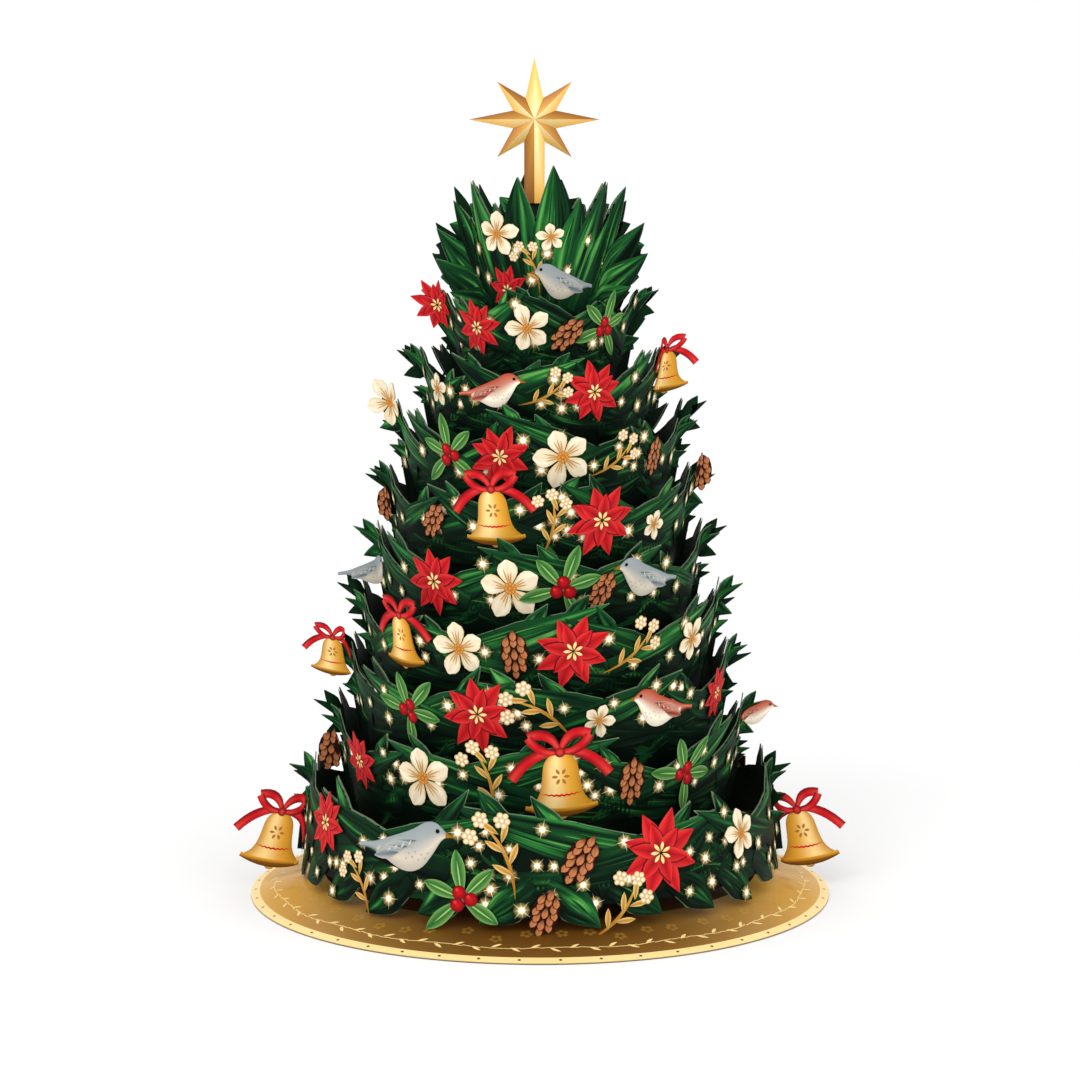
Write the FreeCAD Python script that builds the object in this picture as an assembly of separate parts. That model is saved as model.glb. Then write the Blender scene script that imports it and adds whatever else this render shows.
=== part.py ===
"""Pop-up card of a decorated fir tree, standing open.

Ten tiers of die-cut card nest one inside the next, the lowest outermost. Each tier is a
front sheet and a back sheet, bent into half rings and joined along flat ears at the left
and right. A flat spine card stands between the ears from the base plate to the star.
Platforms hold the rings open, and a flared skirt and a folded star finish the tree.

Millimetres, +Z up, front towards -Y. The origin is the middle of the base on the table.
"""
import FreeCAD, Part
import math
import os

from FreeCAD import Vector

# Stock
CARD = 0.4
BOARD = 0.6
FIT_GAP = 0.3

# Rings, from the foot to the crown
RING_HALF_WIDTHS = (84.0, 73.0, 68.0, 64.0, 58.0, 54.0, 50.0, 42.0, 33.0, 23.0)
TIER_PITCH = 22.0
FIRST_TOP = 42.0
TIER_OVERLAP = 12.0
FLARE = 6.0
FIRST_FLARE = -3.0
RING_PANELS = 10
EAR_LENGTH = 9.5
EAR_STOCK = 45.0
GLUE_STRIP = 3.0
BACKING_DROP = 13.0
PATTERN_MARGIN = 60.0

# Boughs
BOUGH_WIDTH = 13.0
SLIM_SHARE = 0.62
FINGER_SPREAD = 32.0
BLADE_STATIONS = ((0.0, 0.7), (0.5, 0.95))
TIP_HALF_WIDTH = 0.35
CROWN_ROOT_DROP = 26.0
CROWN_SHARE = 1.15
SWAY_ALONG = 0.045
SWAY_UP = 2.6
HEM_COUNT = 12
HEM_BOTTOM = 15.0
HEM_ROOT_RISE = 7.0
HEM_LEAN = 9.0
HEM_CLEARANCE = 1.0
HEM_STEP = 1.4

# Skirt and base
SKIRT_RADIUS = 107.0
SKIRT_INNER_RADIUS = 80.0
SKIRT_HEIGHT = 7.5
SKIRT_PANELS = 18
BASE_TAB_DEPTH = 7.0
TAB_SHARE = 0.6

# Spine
WING = 2.5
SPINE_FOOT_HALF_WIDTH = 60.0
FOOT_INNER = 25.0
FOOT_OUTER = 45.0
SLOT_GAP = 0.15
TONGUE_HALF_WIDTH = 8.0

# Platforms
PLATFORMS = (("lower", 2), ("middle", 5), ("upper", 8))
PLATFORM_RISE = 4.0
FLAP_DROP = 6.0
LOCK_HALF_WIDTH = 5.0
LOCK_LENGTH = 7.0

# Star
STAR_CENTRE_X = -2.0
STAR_RISE = 43.0
STAR_TOP_ARM = 22.0
STAR_SIDE_ARM = 23.5
STAR_SHORT_ARM = 19.0
STAR_ROOT = 8.3
STAR_RELIEF = 2.4
STEM_HALF_WIDTH = 3.7
STEM_LENGTH = 30.0
STEM_RELIEF = 1.2

HALF_SPINE = BOARD / 2
TIER_COUNT = len(RING_HALF_WIDTHS)
CROWN = TIER_COUNT - 1
STAR_CENTRE_Z = FIRST_TOP + TIER_PITCH * CROWN + STAR_RISE
OUT = "parts"


def tier_top(k):
    """Mean height of the top edge of tier k, counted from 0 at the foot."""
    return FIRST_TOP + TIER_PITCH * k


def tier_bottom(k):
    """Height of the hidden lower edge of tier k."""
    return tier_top(k - 1) - TIER_OVERLAP if k else HEM_BOTTOM


def ring_half_width(k, z):
    """Half width of the ring of tier k at height z; it opens upwards like a cup."""
    share = (tier_top(k) - z) / (tier_top(k) - tier_bottom(k))
    return RING_HALF_WIDTHS[k] - (FLARE if k else FIRST_FLARE) * share


def ear_face(k):
    """Distance of the outer face of the ears from the middle plane; the ears of
    neighbouring tiers lie in alternate layers."""
    return HALF_SPINE + CARD + (CARD if k % 2 else 0.0)


def turned(shape, x=0):
    """The same piece on the other side of the middle plane, turned about an upright line at x."""
    copy = shape.copy()
    copy.rotate(Vector(x, 0, 0), Vector(0, 0, 1), 180)
    return copy


def offset_polyline(points, distance):
    """The open polyline moved to its left by distance, with mitred corners."""
    lines = []
    for (x0, y0), (x1, y1) in zip(points, points[1:]):
        length = math.hypot(x1 - x0, y1 - y0)
        nx, ny = -(y1 - y0) / length * distance, (x1 - x0) / length * distance
        lines.append(((x0 + nx, y0 + ny), (x1 + nx, y1 + ny)))
    moved = [lines[0][0]]
    for (a, b), (c, d) in zip(lines, lines[1:]):
        ux, uy = b[0] - a[0], b[1] - a[1]
        vx, vy = d[0] - c[0], d[1] - c[1]
        share = ((c[0] - a[0]) * vy - (c[1] - a[1]) * vx) / (ux * vy - uy * vx)
        moved.append((a[0] + ux * share, a[1] + uy * share))
    moved.append(lines[-1][1])
    return moved


def raised(plan, z):
    """Plan points lifted to height z."""
    return [Vector(x, y, z) for x, y in plan]


def solid_of(loops):
    """A solid bounded by flat faces, each given as a closed loop of points."""
    faces = [Part.Face(Part.makePolygon(list(loop) + [loop[0]])) for loop in loops]
    shell = Part.makeShell(faces)
    shell.sewShape()
    solid = Part.makeSolid(shell)
    if solid.Volume < 0:
        solid.reverse()
    return solid


def strip(low_out, high_out, high_in, low_in):
    """A sheet between four rails of points, made of one flat panel per step."""
    rails = (low_out, high_out, high_in, low_in)
    loops = [[rail[i] for rail in rails] for i in (0, -1)]
    for i in range(len(low_out) - 1):
        for a, b in zip(rails, rails[1:] + rails[:1]):
            loops.append((a[i], a[i + 1], b[i + 1], b[i]))
    return solid_of(loops)


def wall(low, high, z_low, z_high, thickness):
    """A standing sheet whose outer face runs between two open plan polylines."""
    low_in, high_in = offset_polyline(low, thickness), offset_polyline(high, thickness)
    return strip(raised(low, z_low), raised(high, z_high), raised(high_in, z_high), raised(low_in, z_low))


def arc(radius, panels):
    """Half a circle in plan round the front, from the left to the right."""
    angles = [math.pi * (i / panels - 0.5) for i in range(panels + 1)]
    return [(radius * math.sin(a), -radius * math.cos(a)) for a in angles]


def ring_curve(k, z):
    """Outer face of the bent part of the front sheet of tier k at height z."""
    return [(x, y - ear_face(k)) for x, y in arc(ring_half_width(k, z), RING_PANELS)]


def ring_plan(k, z):
    """The same with the ears, from end to end."""
    reach = ring_half_width(k, z) + EAR_STOCK
    return [(-reach, -ear_face(k))] + ring_curve(k, z) + [(reach, -ear_face(k))]


def inner_curve(k, z):
    """Inner face of the bent part of the front sheet of tier k at height z."""
    return offset_polyline(ring_plan(k, z), CARD)[1:-1]


def half_length(k):
    """Length of a quarter turn of the ring of tier k, measured along the flat card."""
    return math.pi / 2 * RING_HALF_WIDTHS[k]


def fold_lines(k):
    """Places of the folds of tier k along the flat card, and the ends of its ears."""
    length = half_length(k)
    folds = [length * (2 * i / RING_PANELS - 1) for i in range(RING_PANELS + 1)]
    return [-length - EAR_STOCK] + folds + [length + EAR_STOCK]


def flat_face(shapes):
    """Flat outlines (along the card, height) joined into one flat face without holes."""
    faces = []
    for shape in shapes:
        area = sum(a[0] * b[1] - b[0] * a[1] for a, b in zip(shape, shape[1:] + shape[:1]))
        loop = shape if area > 0 else shape[::-1]
        faces.append(Part.Face(Part.makePolygon([Vector(s, z, 0) for s, z in loop + [loop[0]]])))
    joined = faces[0].multiFuse(faces[1:]).removeSplitter()
    return Part.Face(max(joined.Faces, key=lambda face: face.Area).OuterWire)


def bent_sheet(k, pattern):
    """The flat pattern of tier k folded round the ring, with the thickness of the card."""
    folds = fold_lines(k)
    low, high = tier_bottom(k) - PATTERN_MARGIN, tier_top(k) + PATTERN_MARGIN
    faces = []
    for i in range(len(folds) - 1):
        left, right = folds[i], folds[i + 1]
        corners = ((left, low), (right, low), (right, high), (left, high), (left, low))
        panel = Part.Face(Part.makePolygon([Vector(s, z, 0) for s, z in corners]))
        for piece in pattern.common(panel).Faces:
            faces += bent_panel(k, piece, i, left, right)
    shell = Part.makeShell(faces)
    shell.sewShape()
    solid = Part.makeSolid(shell)
    if solid.Volume < 0:
        solid.reverse()
    return solid


def bent_panel(k, piece, i, left, right):
    """Both faces and the cut edges of one flat panel of the folded sheet."""
    faces = []
    outer_wires, inner_wires = [], []
    for wire in [piece.OuterWire] + [w for w in piece.Wires if not w.isSame(piece.OuterWire)]:
        flat = [(v.Point.x, v.Point.y) for v in wire.OrderedVertexes]
        outer, inner = [], []
        for s, z in flat:
            share = (s - left) / (right - left)
            plan = ring_plan(k, z)
            for line, rail in ((plan, outer), (offset_polyline(plan, CARD), inner)):
                (x0, y0), (x1, y1) = line[i], line[i + 1]
                rail.append(Vector(x0 + (x1 - x0) * share, y0 + (y1 - y0) * share, z))
        outer_wires.append(Part.makePolygon(outer + [outer[0]]))
        inner_wires.append(Part.makePolygon(inner + [inner[0]]))
        for a in range(len(flat)):
            b = (a + 1) % len(flat)
            on_fold = any(abs(flat[a][0] - f) < 1e-6 and abs(flat[b][0] - f) < 1e-6 for f in (left, right))
            if not on_fold:
                for loop in ((outer[a], outer[b], inner[b]), (outer[a], inner[b], inner[a])):
                    faces.append(Part.Face(Part.makePolygon(list(loop) + [loop[0]])))
    faces.append(Part.Face(outer_wires))
    faces.append(Part.Face(inner_wires))
    return faces


def blade(root, tip, bow, width):
    """One tapering needle spray from root to tip, bent by bow to its left."""
    (x0, z0), (x1, z1) = root, tip
    length = math.hypot(x1 - x0, z1 - z0)
    nx, nz = -(z1 - z0) / length, (x1 - x0) / length
    bend = ((x0 + x1) / 2 + nx * bow, (z0 + z1) / 2 + nz * bow)
    left, right = [], []
    for u, share in BLADE_STATIONS:
        x = (1 - u) ** 2 * x0 + 2 * u * (1 - u) * bend[0] + u * u * x1
        z = (1 - u) ** 2 * z0 + 2 * u * (1 - u) * bend[1] + u * u * z1
        half = width / 2 * share
        left.append((x + nx * half, z + nz * half))
        right.append((x - nx * half, z - nz * half))
    left.append((x1 + nx * TIP_HALF_WIDTH, z1 + nz * TIP_HALF_WIDTH))
    right.append((x1 - nx * TIP_HALF_WIDTH, z1 - nz * TIP_HALF_WIDTH))
    return left + right[::-1]


def bough(root, tip, bow, width, fingers):
    """A main blade with finger blades branching from it near the tip."""
    (x0, z0), (x1, z1) = root, tip
    length = math.hypot(x1 - x0, z1 - z0)
    heading = math.atan2(z1 - z0, x1 - x0)
    nx, nz = -math.sin(heading), math.cos(heading)
    blades = [blade(root, tip, bow, width)]
    for start, side, reach in fingers:
        turn = heading + side * math.radians(FINGER_SPREAD)
        sag = 2 * start * (1 - start) * bow
        fork = (x0 + (x1 - x0) * start + nx * sag, z0 + (z1 - z0) * start + nz * sag)
        span = reach * length
        end = (fork[0] + span * math.cos(turn), fork[1] + span * math.sin(turn))
        blades.append(blade(fork, end, -side * span * 0.1, width * 0.5))
    return blades


def tier_boughs(k):
    """The boughs of a tier: two to each ear and five sweeping round the front."""
    top, half = tier_top(k), half_length(k)
    reach = half + EAR_LENGTH
    hand = 1 if k % 2 else -1
    size = BOUGH_WIDTH * (SLIM_SHARE + (1 - SLIM_SHARE) * half / half_length(0))
    plan = (
        # root, drop, tip, rise, bow, width, fingers as (fork, side, reach)
        (0.50 * half, 15, reach, 5, -5, 1.0, ((0.56, 1, 0.3), (0.8, 1, 0.18), (0.7, -1, 0.24))),
        (0.74 * half, 17, reach - 3, -9, -2, 0.8, ((0.66, 1, 0.28),)),
        (-0.55 * half, 14, 2 - reach, 3, 5, 1.0, ((0.5, -1, 0.32), (0.76, -1, 0.22))),
        (-0.76 * half, 17, 4 - reach, -11, 2, 0.8, ((0.6, 1, 0.32),)),
        (-0.44 * half, 14, 0.24 * half, 5, -4, 1.15, ((0.48, 1, 0.26), (0.74, 1, 0.2))),
        (0.58 * half, 16, 0.08 * half, 2, 4, 1.0, ((0.55, -1, 0.34),)),
        (-0.02 * half, 16, -0.52 * half, 2, 4, 1.0, ((0.6, -1, 0.28),)),
        (0.26 * half, 16, 0.76 * half, 4, -4, 0.95, ((0.6, 1, 0.3),)),
        (-0.9 * half, 16, -0.44 * half, -1, -4, 0.9, ((0.6, 1, 0.32),)),
    )
    blades = []
    for i, (s0, drop, s1, rise, bow, width, fingers) in enumerate(plan):
        sway = math.sin(2.3 * k + 1.7 * i)
        sides = [(fork, side * hand, span) for fork, side, span in fingers]
        root = (hand * (s0 + sway * SWAY_ALONG * half), top - drop)
        tip = (hand * s1, top + rise + sway * SWAY_UP)
        blades += bough(root, tip, hand * bow, size * width, sides)
    return blades


def crown_boughs():
    """The top tier: sprays that fan upwards round the stem of the star."""
    top, half = tier_top(CROWN), half_length(CROWN)
    tips = (
        # share of the half length, rise above the mean top edge
        (-1.38, 4), (-1.16, 14), (-0.94, 8), (-0.72, 21), (-0.44, 13), (-0.19, 22), (0.11, 26), (0.36, 15),
        (0.64, 20), (0.89, 11), (1.13, 19), (1.38, 6), (1.47, -5), (-1.44, -7), (1.36, -17), (-1.36, -19),
    )
    blades = []
    for i, (share, rise) in enumerate(tips):
        s, side = share * half, 1 if share < 0 else -1
        fingers = ((0.68, side, 0.22),) if i % 2 else ()
        root = (s / 2, top - CROWN_ROOT_DROP)
        blades += bough(root, (s, top + rise), side * 3, BOUGH_WIDTH * CROWN_SHARE, fingers)
    return blades


def hem_boughs():
    """Drooping tips along the bottom edge of the lowest tier, just clear of the skirt."""
    floor = (SKIRT_RADIUS - ring_half_width(0, HEM_BOTTOM)) * skirt_slope() + BOARD + HEM_CLEARANCE
    blades = []
    pitch = 2 * half_length(0) / HEM_COUNT
    for i in range(HEM_COUNT):
        s = pitch * (i - (HEM_COUNT - 1) / 2)
        lean = HEM_LEAN if s > 0 else -HEM_LEAN
        tip = (s + lean, floor + HEM_STEP * (i * 2 % 3))
        blades.append(blade((s - lean, HEM_BOTTOM + HEM_ROOT_RISE), tip, 1.5, BOUGH_WIDTH))
    return blades


def backing(k):
    """The plain lower part of a tier, behind the tier below, with its glue strips."""
    bottom, top = tier_bottom(k), tier_top(k) - BACKING_DROP
    end = half_length(k) + GLUE_STRIP
    return [(end, bottom), (end, top), (-end, top), (-end, bottom)]


def tilted(points, centre, degrees):
    """Outline points turned about their own origin and moved to centre."""
    c, s = math.cos(math.radians(degrees)), math.sin(math.radians(degrees))
    return [(centre[0] + x * c - z * s, centre[1] + x * s + z * c) for x, z in points]


def bell(centre, size, tilt):
    """Outline of a hanging bell with a bow; size is its height."""
    flank = ((0.16, 0.5), (0.3, 0.34), (0.36, 0.0), (0.46, -0.3), (0.68, -0.5))
    half = [(x * size, z * size) for x, z in flank]
    body = half + [(0.16 * size, -0.54 * size), (0, -0.68 * size), (-0.16 * size, -0.54 * size)]
    body += [(-x, z) for x, z in reversed(half)]
    knot = tilted([(0, 0.5 * size)], centre, tilt)[0]
    shapes = [tilted(body, centre, tilt)]
    for side in (-1, 1):
        loop = (knot[0] + side * 0.62 * size, knot[1] + 0.5 * size)
        tail = (knot[0] + side * 1.02 * size, knot[1] - 0.42 * size)
        near = (knot[0] - side * 0.1 * size, knot[1] - 0.05 * size)
        shapes.append(blade(near, loop, side * 0.12 * size, 0.5 * size))
        shapes.append(blade(near, tail, side * 0.2 * size, 0.3 * size))
    return shapes


def bird(centre, size, facing):
    """Outline of a perched bird; size is its length and facing 1 looks to the right."""
    profile = (
        (0.5, 0.16), (0.42, 0.24), (0.3, 0.27), (0.18, 0.2), (-0.08, 0.12), (-0.5, 0.0),
        (-0.5, -0.07), (-0.2, -0.1), (0.0, -0.24), (0.2, -0.2), (0.36, -0.02),
    )
    return [(centre[0] + facing * x * size, centre[1] + z * size) for x, z in profile]


def flower(centre, radius, petals, waist):
    """Outline of a flower whose petals narrow to waist between them."""
    points = []
    for i in range(4 * petals):
        reach = radius * (1, (1 + waist) / 2, waist, (1 + waist) / 2)[i % 4]
        angle = math.pi * (0.5 + i / (2 * petals))
        points.append((centre[0] + reach * math.cos(angle), centre[1] + reach * math.sin(angle)))
    return points


def ear_ornaments(k):
    """Printed ornaments that reach over the edge of the boughs of a front sheet."""
    end, top = half_length(k), tier_top(k)
    ornaments = {
        # each place is so far beyond the fold of the ear, and so far below the mean top edge
        0: bell((-end - 11.5, top - 22.5), 17.0, -8),
        1: [flower((-end - 6.0, top - 11.0), 7.5, 6, 0.8), bird((end + 4.0, top + 2.0), 17.0, 1)],
        2: bell((-end - 8.0, top + 2.0), 11.0, -10),
        4: [bird((-end - 6.5, top - 11.0), 20.0, 1)],
        5: [flower((-end - 3.2, top - 7.7), 6.1, 5, 0.7), flower((end + 4.0, top + 4.0), 6.5, 5, 0.75)],
        6: [flower((-end - 3.0, top + 7.0), 9.0, 5, 0.5)],
        7: bell((end + 4.0, top - 3.0), 12.0, 8),
        8: [flower((-end - 4.5, top - 1.6), 9.5, 7, 0.45)],
    }
    return ornaments.get(k, [])


def tier_outline(k, with_ornaments):
    """Every flat shape of the die-cut outline of tier k seen from its own side."""
    shapes = [backing(k)] + (crown_boughs() if k == CROWN else tier_boughs(k))
    if k == 0:
        shapes += hem_boughs()
    if with_ornaments or k == 0:
        shapes += ear_ornaments(k)
    return shapes


def tier_sheet(k, with_ornaments):
    """Tier k on the front side, cut flat and then folded round the ring."""
    return bent_sheet(k, flat_face(tier_outline(k, with_ornaments)))


def platform_height(k):
    """Underside of the platform inside tier k."""
    return tier_bottom(k) + PLATFORM_RISE


def panel_flaps(low, high, z_low, z_high, thickness, share):
    """A flap against the middle of every second panel of a bent sheet."""
    flaps = []
    trim = (1 - share) / 2
    for i in range(0, len(low) - 1, 2):
        rails = []
        for line in (low, high):
            (x0, y0), (x1, y1) = line[i], line[i + 1]
            rails.append([(x0 + (x1 - x0) * u, y0 + (y1 - y0) * u) for u in (trim, 1 - trim)])
        flaps.append(wall(rails[0], rails[1], z_low, z_high, thickness))
    return flaps


def platform(k):
    """Half platform inside the front sheet of tier k, with flaps glued to its inner face."""
    z = platform_height(k)
    edge = offset_polyline(inner_curve(k, z), FIT_GAP)
    plate = Part.Face(Part.makePolygon(raised(close_on_spine(edge), z))).extrude(Vector(0, 0, CARD))
    low = z - FLAP_DROP
    flaps = panel_flaps(inner_curve(k, low), inner_curve(k, z + CARD), low, z + CARD, CARD, TAB_SHARE)
    return plate.multiFuse(flaps)


def close_on_spine(edge):
    """A plan polyline closed along the face of the spine card."""
    left, right = edge[0][0], edge[-1][0]
    inside = [point for point in edge if point[1] < -HALF_SPINE]
    loop = [(left, -HALF_SPINE)] + inside + [(right, -HALF_SPINE)]
    return loop + [loop[0]]


def lock_tongue(k, gap):
    """The tongue of the front platform of tier k, grown by gap, through the spine card."""
    half, reach = LOCK_HALF_WIDTH + gap, LOCK_LENGTH + gap
    corner = Vector(-half, -HALF_SPINE, platform_height(k) - gap)
    return Part.makeBox(2 * half, HALF_SPINE + reach, CARD + 2 * gap, corner)


def front_platform(k):
    return platform(k).fuse(lock_tongue(k, 0)).removeSplitter()


def back_platform(k):
    return turned(platform(k)).cut(lock_tongue(k, FIT_GAP)).removeSplitter()


def spine_outline():
    """Stepped outline of the spine card: a narrow foot, a wing behind each ear, a tongue."""
    half = [(SPINE_FOOT_HALF_WIDTH, BOARD), (SPINE_FOOT_HALF_WIDTH, HEM_BOTTOM)]
    for k in range(TIER_COUNT):
        start = tier_top(k - 1) - BACKING_DROP if k else HEM_BOTTOM
        end = tier_top(k) - BACKING_DROP
        half += [(ring_half_width(k, z) + WING, z) for z in (start, end)]
    shoulder = tier_top(CROWN) - BACKING_DROP
    stem_foot = STAR_CENTRE_Z - STEM_LENGTH
    half += [(TONGUE_HALF_WIDTH, shoulder + TONGUE_HALF_WIDTH), (TONGUE_HALF_WIDTH, stem_foot)]
    left = [(-x, z) for x, z in reversed(half)]
    stem = [(STAR_CENTRE_X + side * STEM_HALF_WIDTH, z) for side, z in
            ((1, stem_foot), (1, STAR_CENTRE_Z), (-1, STAR_CENTRE_Z), (-1, stem_foot))]
    return half + stem + left


def spine():
    """The flat card in the middle plane, with feet and a slot for each platform tongue."""
    outline = spine_outline()
    face = Part.Face(Part.makePolygon([Vector(x, -HALF_SPINE, z) for x, z in outline + [outline[0]]]))
    card = face.extrude(Vector(0, BOARD, 0))
    feet = [foot(side, 0) for side in (-1, 1)]
    slots = [lock_tongue(k, SLOT_GAP) for name, k in PLATFORMS]
    return card.multiFuse(feet).cut(Part.makeCompound(slots)).removeSplitter()


def foot(side, gap):
    """One foot of the spine, grown by gap to cut its slot in the base plate."""
    length, depth = FOOT_OUTER - FOOT_INNER + 2 * gap, BOARD + 2 * gap
    left = (FOOT_INNER if side > 0 else -FOOT_OUTER) - gap
    return Part.makeBox(length, depth, 2 * BOARD, Vector(left, -HALF_SPINE - gap, 0))


def skirt_slope():
    return SKIRT_HEIGHT / (SKIRT_RADIUS - SKIRT_INNER_RADIUS)


def skirt_rail(radius, drop):
    """Points along half the skirt at the given radius, drop below its upper face."""
    return raised(arc(radius, SKIRT_PANELS), BOARD + (SKIRT_RADIUS - radius) * skirt_slope() - drop)


def skirt():
    """Front half of the flared skirt, which stands on its rim."""
    outer, inner = SKIRT_RADIUS, SKIRT_INNER_RADIUS
    return strip(skirt_rail(outer, 0), skirt_rail(inner, 0), skirt_rail(inner, BOARD), skirt_rail(outer, BOARD))


def base_radius():
    """The base plate ends where its upper edge just clears the underside of the skirt."""
    return SKIRT_RADIUS - (BOARD + SLOT_GAP) / skirt_slope()


def base_tabs():
    """Tabs of the base plate that rise against the underside of the front half skirt."""
    outer = base_radius() - BOARD
    inner = outer - BASE_TAB_DEPTH
    rails = [skirt_rail(r, drop) for r, drop in
             ((outer, BOARD), (inner, BOARD), (inner, 2 * BOARD), (outer, 2 * BOARD))]
    trim = (1 - TAB_SHARE) / 2
    tabs = []
    for i in range(0, SKIRT_PANELS, 3):
        ends = [[r[i] + (r[i + 1] - r[i]) * u for u in (trim, 1 - trim)] for r in rails]
        tabs.append(strip(*ends))
    return tabs


def base_plate():
    """Round plate under the tree, with glue tabs for the skirt and slots for the spine."""
    half = arc(base_radius(), SKIRT_PANELS)
    loop = half + [(-x, -y) for x, y in half[1:-1]]
    plate = Part.Face(Part.makePolygon(raised(loop + [loop[0]], 0))).extrude(Vector(0, 0, BOARD))
    tabs = base_tabs()
    plate = plate.multiFuse(tabs + [turned(tab) for tab in tabs])
    slots = [foot(side, SLOT_GAP) for side in (-1, 1)]
    return plate.cut(Part.makeCompound(slots)).removeSplitter()


def star_outline():
    """Corners of the star and its stem, clockwise from the top tip, as (x, z)."""
    arms = (STAR_TOP_ARM, STAR_SHORT_ARM, STAR_SIDE_ARM, STAR_SHORT_ARM)
    corners = []
    for i in range(16):
        angle = math.pi / 2 - math.pi * i / 8
        reach = STAR_ROOT if i % 2 else arms[i // 2 % 4]
        corners.append((STAR_CENTRE_X + math.cos(angle) * reach, STAR_CENTRE_Z + math.sin(angle) * reach))
    root = corners[7][1]
    foot_z = STAR_CENTRE_Z - STEM_LENGTH
    right, left = STAR_CENTRE_X + STEM_HALF_WIDTH, STAR_CENTRE_X - STEM_HALF_WIDTH
    stem = [(right, root), (right, foot_z), (STAR_CENTRE_X, foot_z), (left, foot_z), (left, root)]
    return corners[:8] + stem + corners[9:]


def star():
    """Front half of the star: eight creased arms round a raised centre, and a creased stem."""
    corners = star_outline()
    stem_foot = corners.index((STAR_CENTRE_X, STAR_CENTRE_Z - STEM_LENGTH))
    ring = [Vector(x, -HALF_SPINE - CARD, z) for x, z in corners]
    ring[stem_foot].y -= STEM_RELIEF
    centre = Vector(STAR_CENTRE_X, -HALF_SPINE - CARD - STAR_RELIEF, STAR_CENTRE_Z)
    thickness = Vector(0, CARD, 0)
    loops = []
    for a, b in zip(ring, ring[1:] + ring[:1]):
        loops.append((centre, a, b))
        loops.append((centre + thickness, b + thickness, a + thickness))
        loops.append((a, a + thickness, b + thickness, b))
    return solid_of(loops)


def write(name, shape):
    """Save one piece under its node name."""
    body = shape.Solids[0] if len(shape.Solids) == 1 else shape
    body.exportStep(os.path.join(OUT, name + ".step"))
    print(name, len(shape.Solids), "solid", round(shape.Volume, 1), "mm3", "valid", shape.isValid())


def main():
    os.makedirs(OUT, exist_ok=True)
    for k in range(TIER_COUNT):
        write("tier_%02d_front" % (k + 1), tier_sheet(k, True))
        write("tier_%02d_back" % (k + 1), turned(tier_sheet(k, False)))
    for name, k in PLATFORMS:
        write(name + "_platform_front", front_platform(k))
        write(name + "_platform_back", back_platform(k))
    write("spine", spine())
    write("star_front", star())
    write("star_back", turned(star(), STAR_CENTRE_X))
    write("base_plate", base_plate())
    write("skirt_front", skirt())
    write("skirt_back", turned(skirt()))


main()
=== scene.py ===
"""Looks of the pop-up fir tree: printed card drawn as thin shapes on the bent sheets.

Work on a sheet is laid out flat, as (place along the card, height) in millimetres, and bent
into its ring at the end. The skirt is laid out as (angle, radius). Every shape carries its ink
as a colour attribute, and the card materials add the mottle, sheen and grain of coated card.
"""
import math
import random

import bpy
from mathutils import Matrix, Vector


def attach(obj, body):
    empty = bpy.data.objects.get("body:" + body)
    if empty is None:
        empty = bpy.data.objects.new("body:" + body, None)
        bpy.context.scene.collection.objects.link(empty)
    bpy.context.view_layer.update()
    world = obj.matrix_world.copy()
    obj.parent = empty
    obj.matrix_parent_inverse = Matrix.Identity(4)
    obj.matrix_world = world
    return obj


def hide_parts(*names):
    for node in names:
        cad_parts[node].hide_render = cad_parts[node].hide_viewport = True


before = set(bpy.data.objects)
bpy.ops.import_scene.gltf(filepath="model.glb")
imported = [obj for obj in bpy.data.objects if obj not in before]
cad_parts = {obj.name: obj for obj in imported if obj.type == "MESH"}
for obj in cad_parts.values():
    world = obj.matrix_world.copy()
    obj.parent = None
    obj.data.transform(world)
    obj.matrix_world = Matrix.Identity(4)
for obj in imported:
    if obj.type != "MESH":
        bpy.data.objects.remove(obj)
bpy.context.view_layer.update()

# The card model, in millimetres, as the CAD source has it
MM = 0.001
CARD = 0.4
BOARD = 0.6
HALF_SPINE = BOARD / 2
RING_HALF_WIDTHS = (84.0, 73.0, 68.0, 64.0, 58.0, 54.0, 50.0, 42.0, 33.0, 23.0)
TIER_COUNT = len(RING_HALF_WIDTHS)
CROWN = TIER_COUNT - 1
TIER_PITCH = 22.0
FIRST_TOP = 42.0
TIER_OVERLAP = 12.0
FLARE = 6.0
FIRST_FLARE = -3.0
EAR_LENGTH = 9.5
GLUE_STRIP = 3.0
BACKING_DROP = 13.0
BOUGH_WIDTH = 13.0
SLIM_SHARE = 0.62
CROWN_SHARE = 1.15
BLADE_ROOT = 0.35
BLADE_GAIN = 0.25
BLADE_MIDDLE = 0.475
BLADE_TIP = 0.15
FINGER_SPREAD = 32.0
FINGER_SHARE = 0.5
FINGER_BOW = 0.1
CROWN_ROOT_DROP = 26.0
SWAY_ALONG = 0.045
SWAY_UP = 2.6
HEM_COUNT = 12
HEM_BOTTOM = 15.0
HEM_ROOT_RISE = 7.0
HEM_LEAN = 9.0
HEM_CLEARANCE = 1.0
HEM_STEP = 1.4
HEM_BOW = 1.5
SKIRT_RADIUS = 107.0
SKIRT_INNER_RADIUS = 80.0
SKIRT_HEIGHT = 7.5
STAR_CENTRE = (-2.0, 283.0)
STAR_ARMS = (22.0, 19.0, 23.5, 19.0)
STAR_ROOT = 8.3
STAR_RELIEF = 2.4
STEM_HALF_WIDTH = 3.7
STEM_LENGTH = 30.0
STEM_RELIEF = 1.2

# The soft fold at the ears, the spacing of drawn spots, and heights above the card's face
FOLD_RADIUS = 4.0
STEP = 1.8
CELL = 1.8
PALE_MARGIN = 0.18
GROUND_LIFT = 0.04
NEEDLE_LIFT = 0.09
INNER_LIFT = 0.16
GLOW_LIFT = 0.4
BOUGH_LIFT = 0.46
LIGHT_LIFT = 1.12
ORNAMENT_LIFT = 1.2
ORNAMENT_STEP = 0.27
LEVEL = 0.05
LAYER = 0.01
SEED = 24

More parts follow.
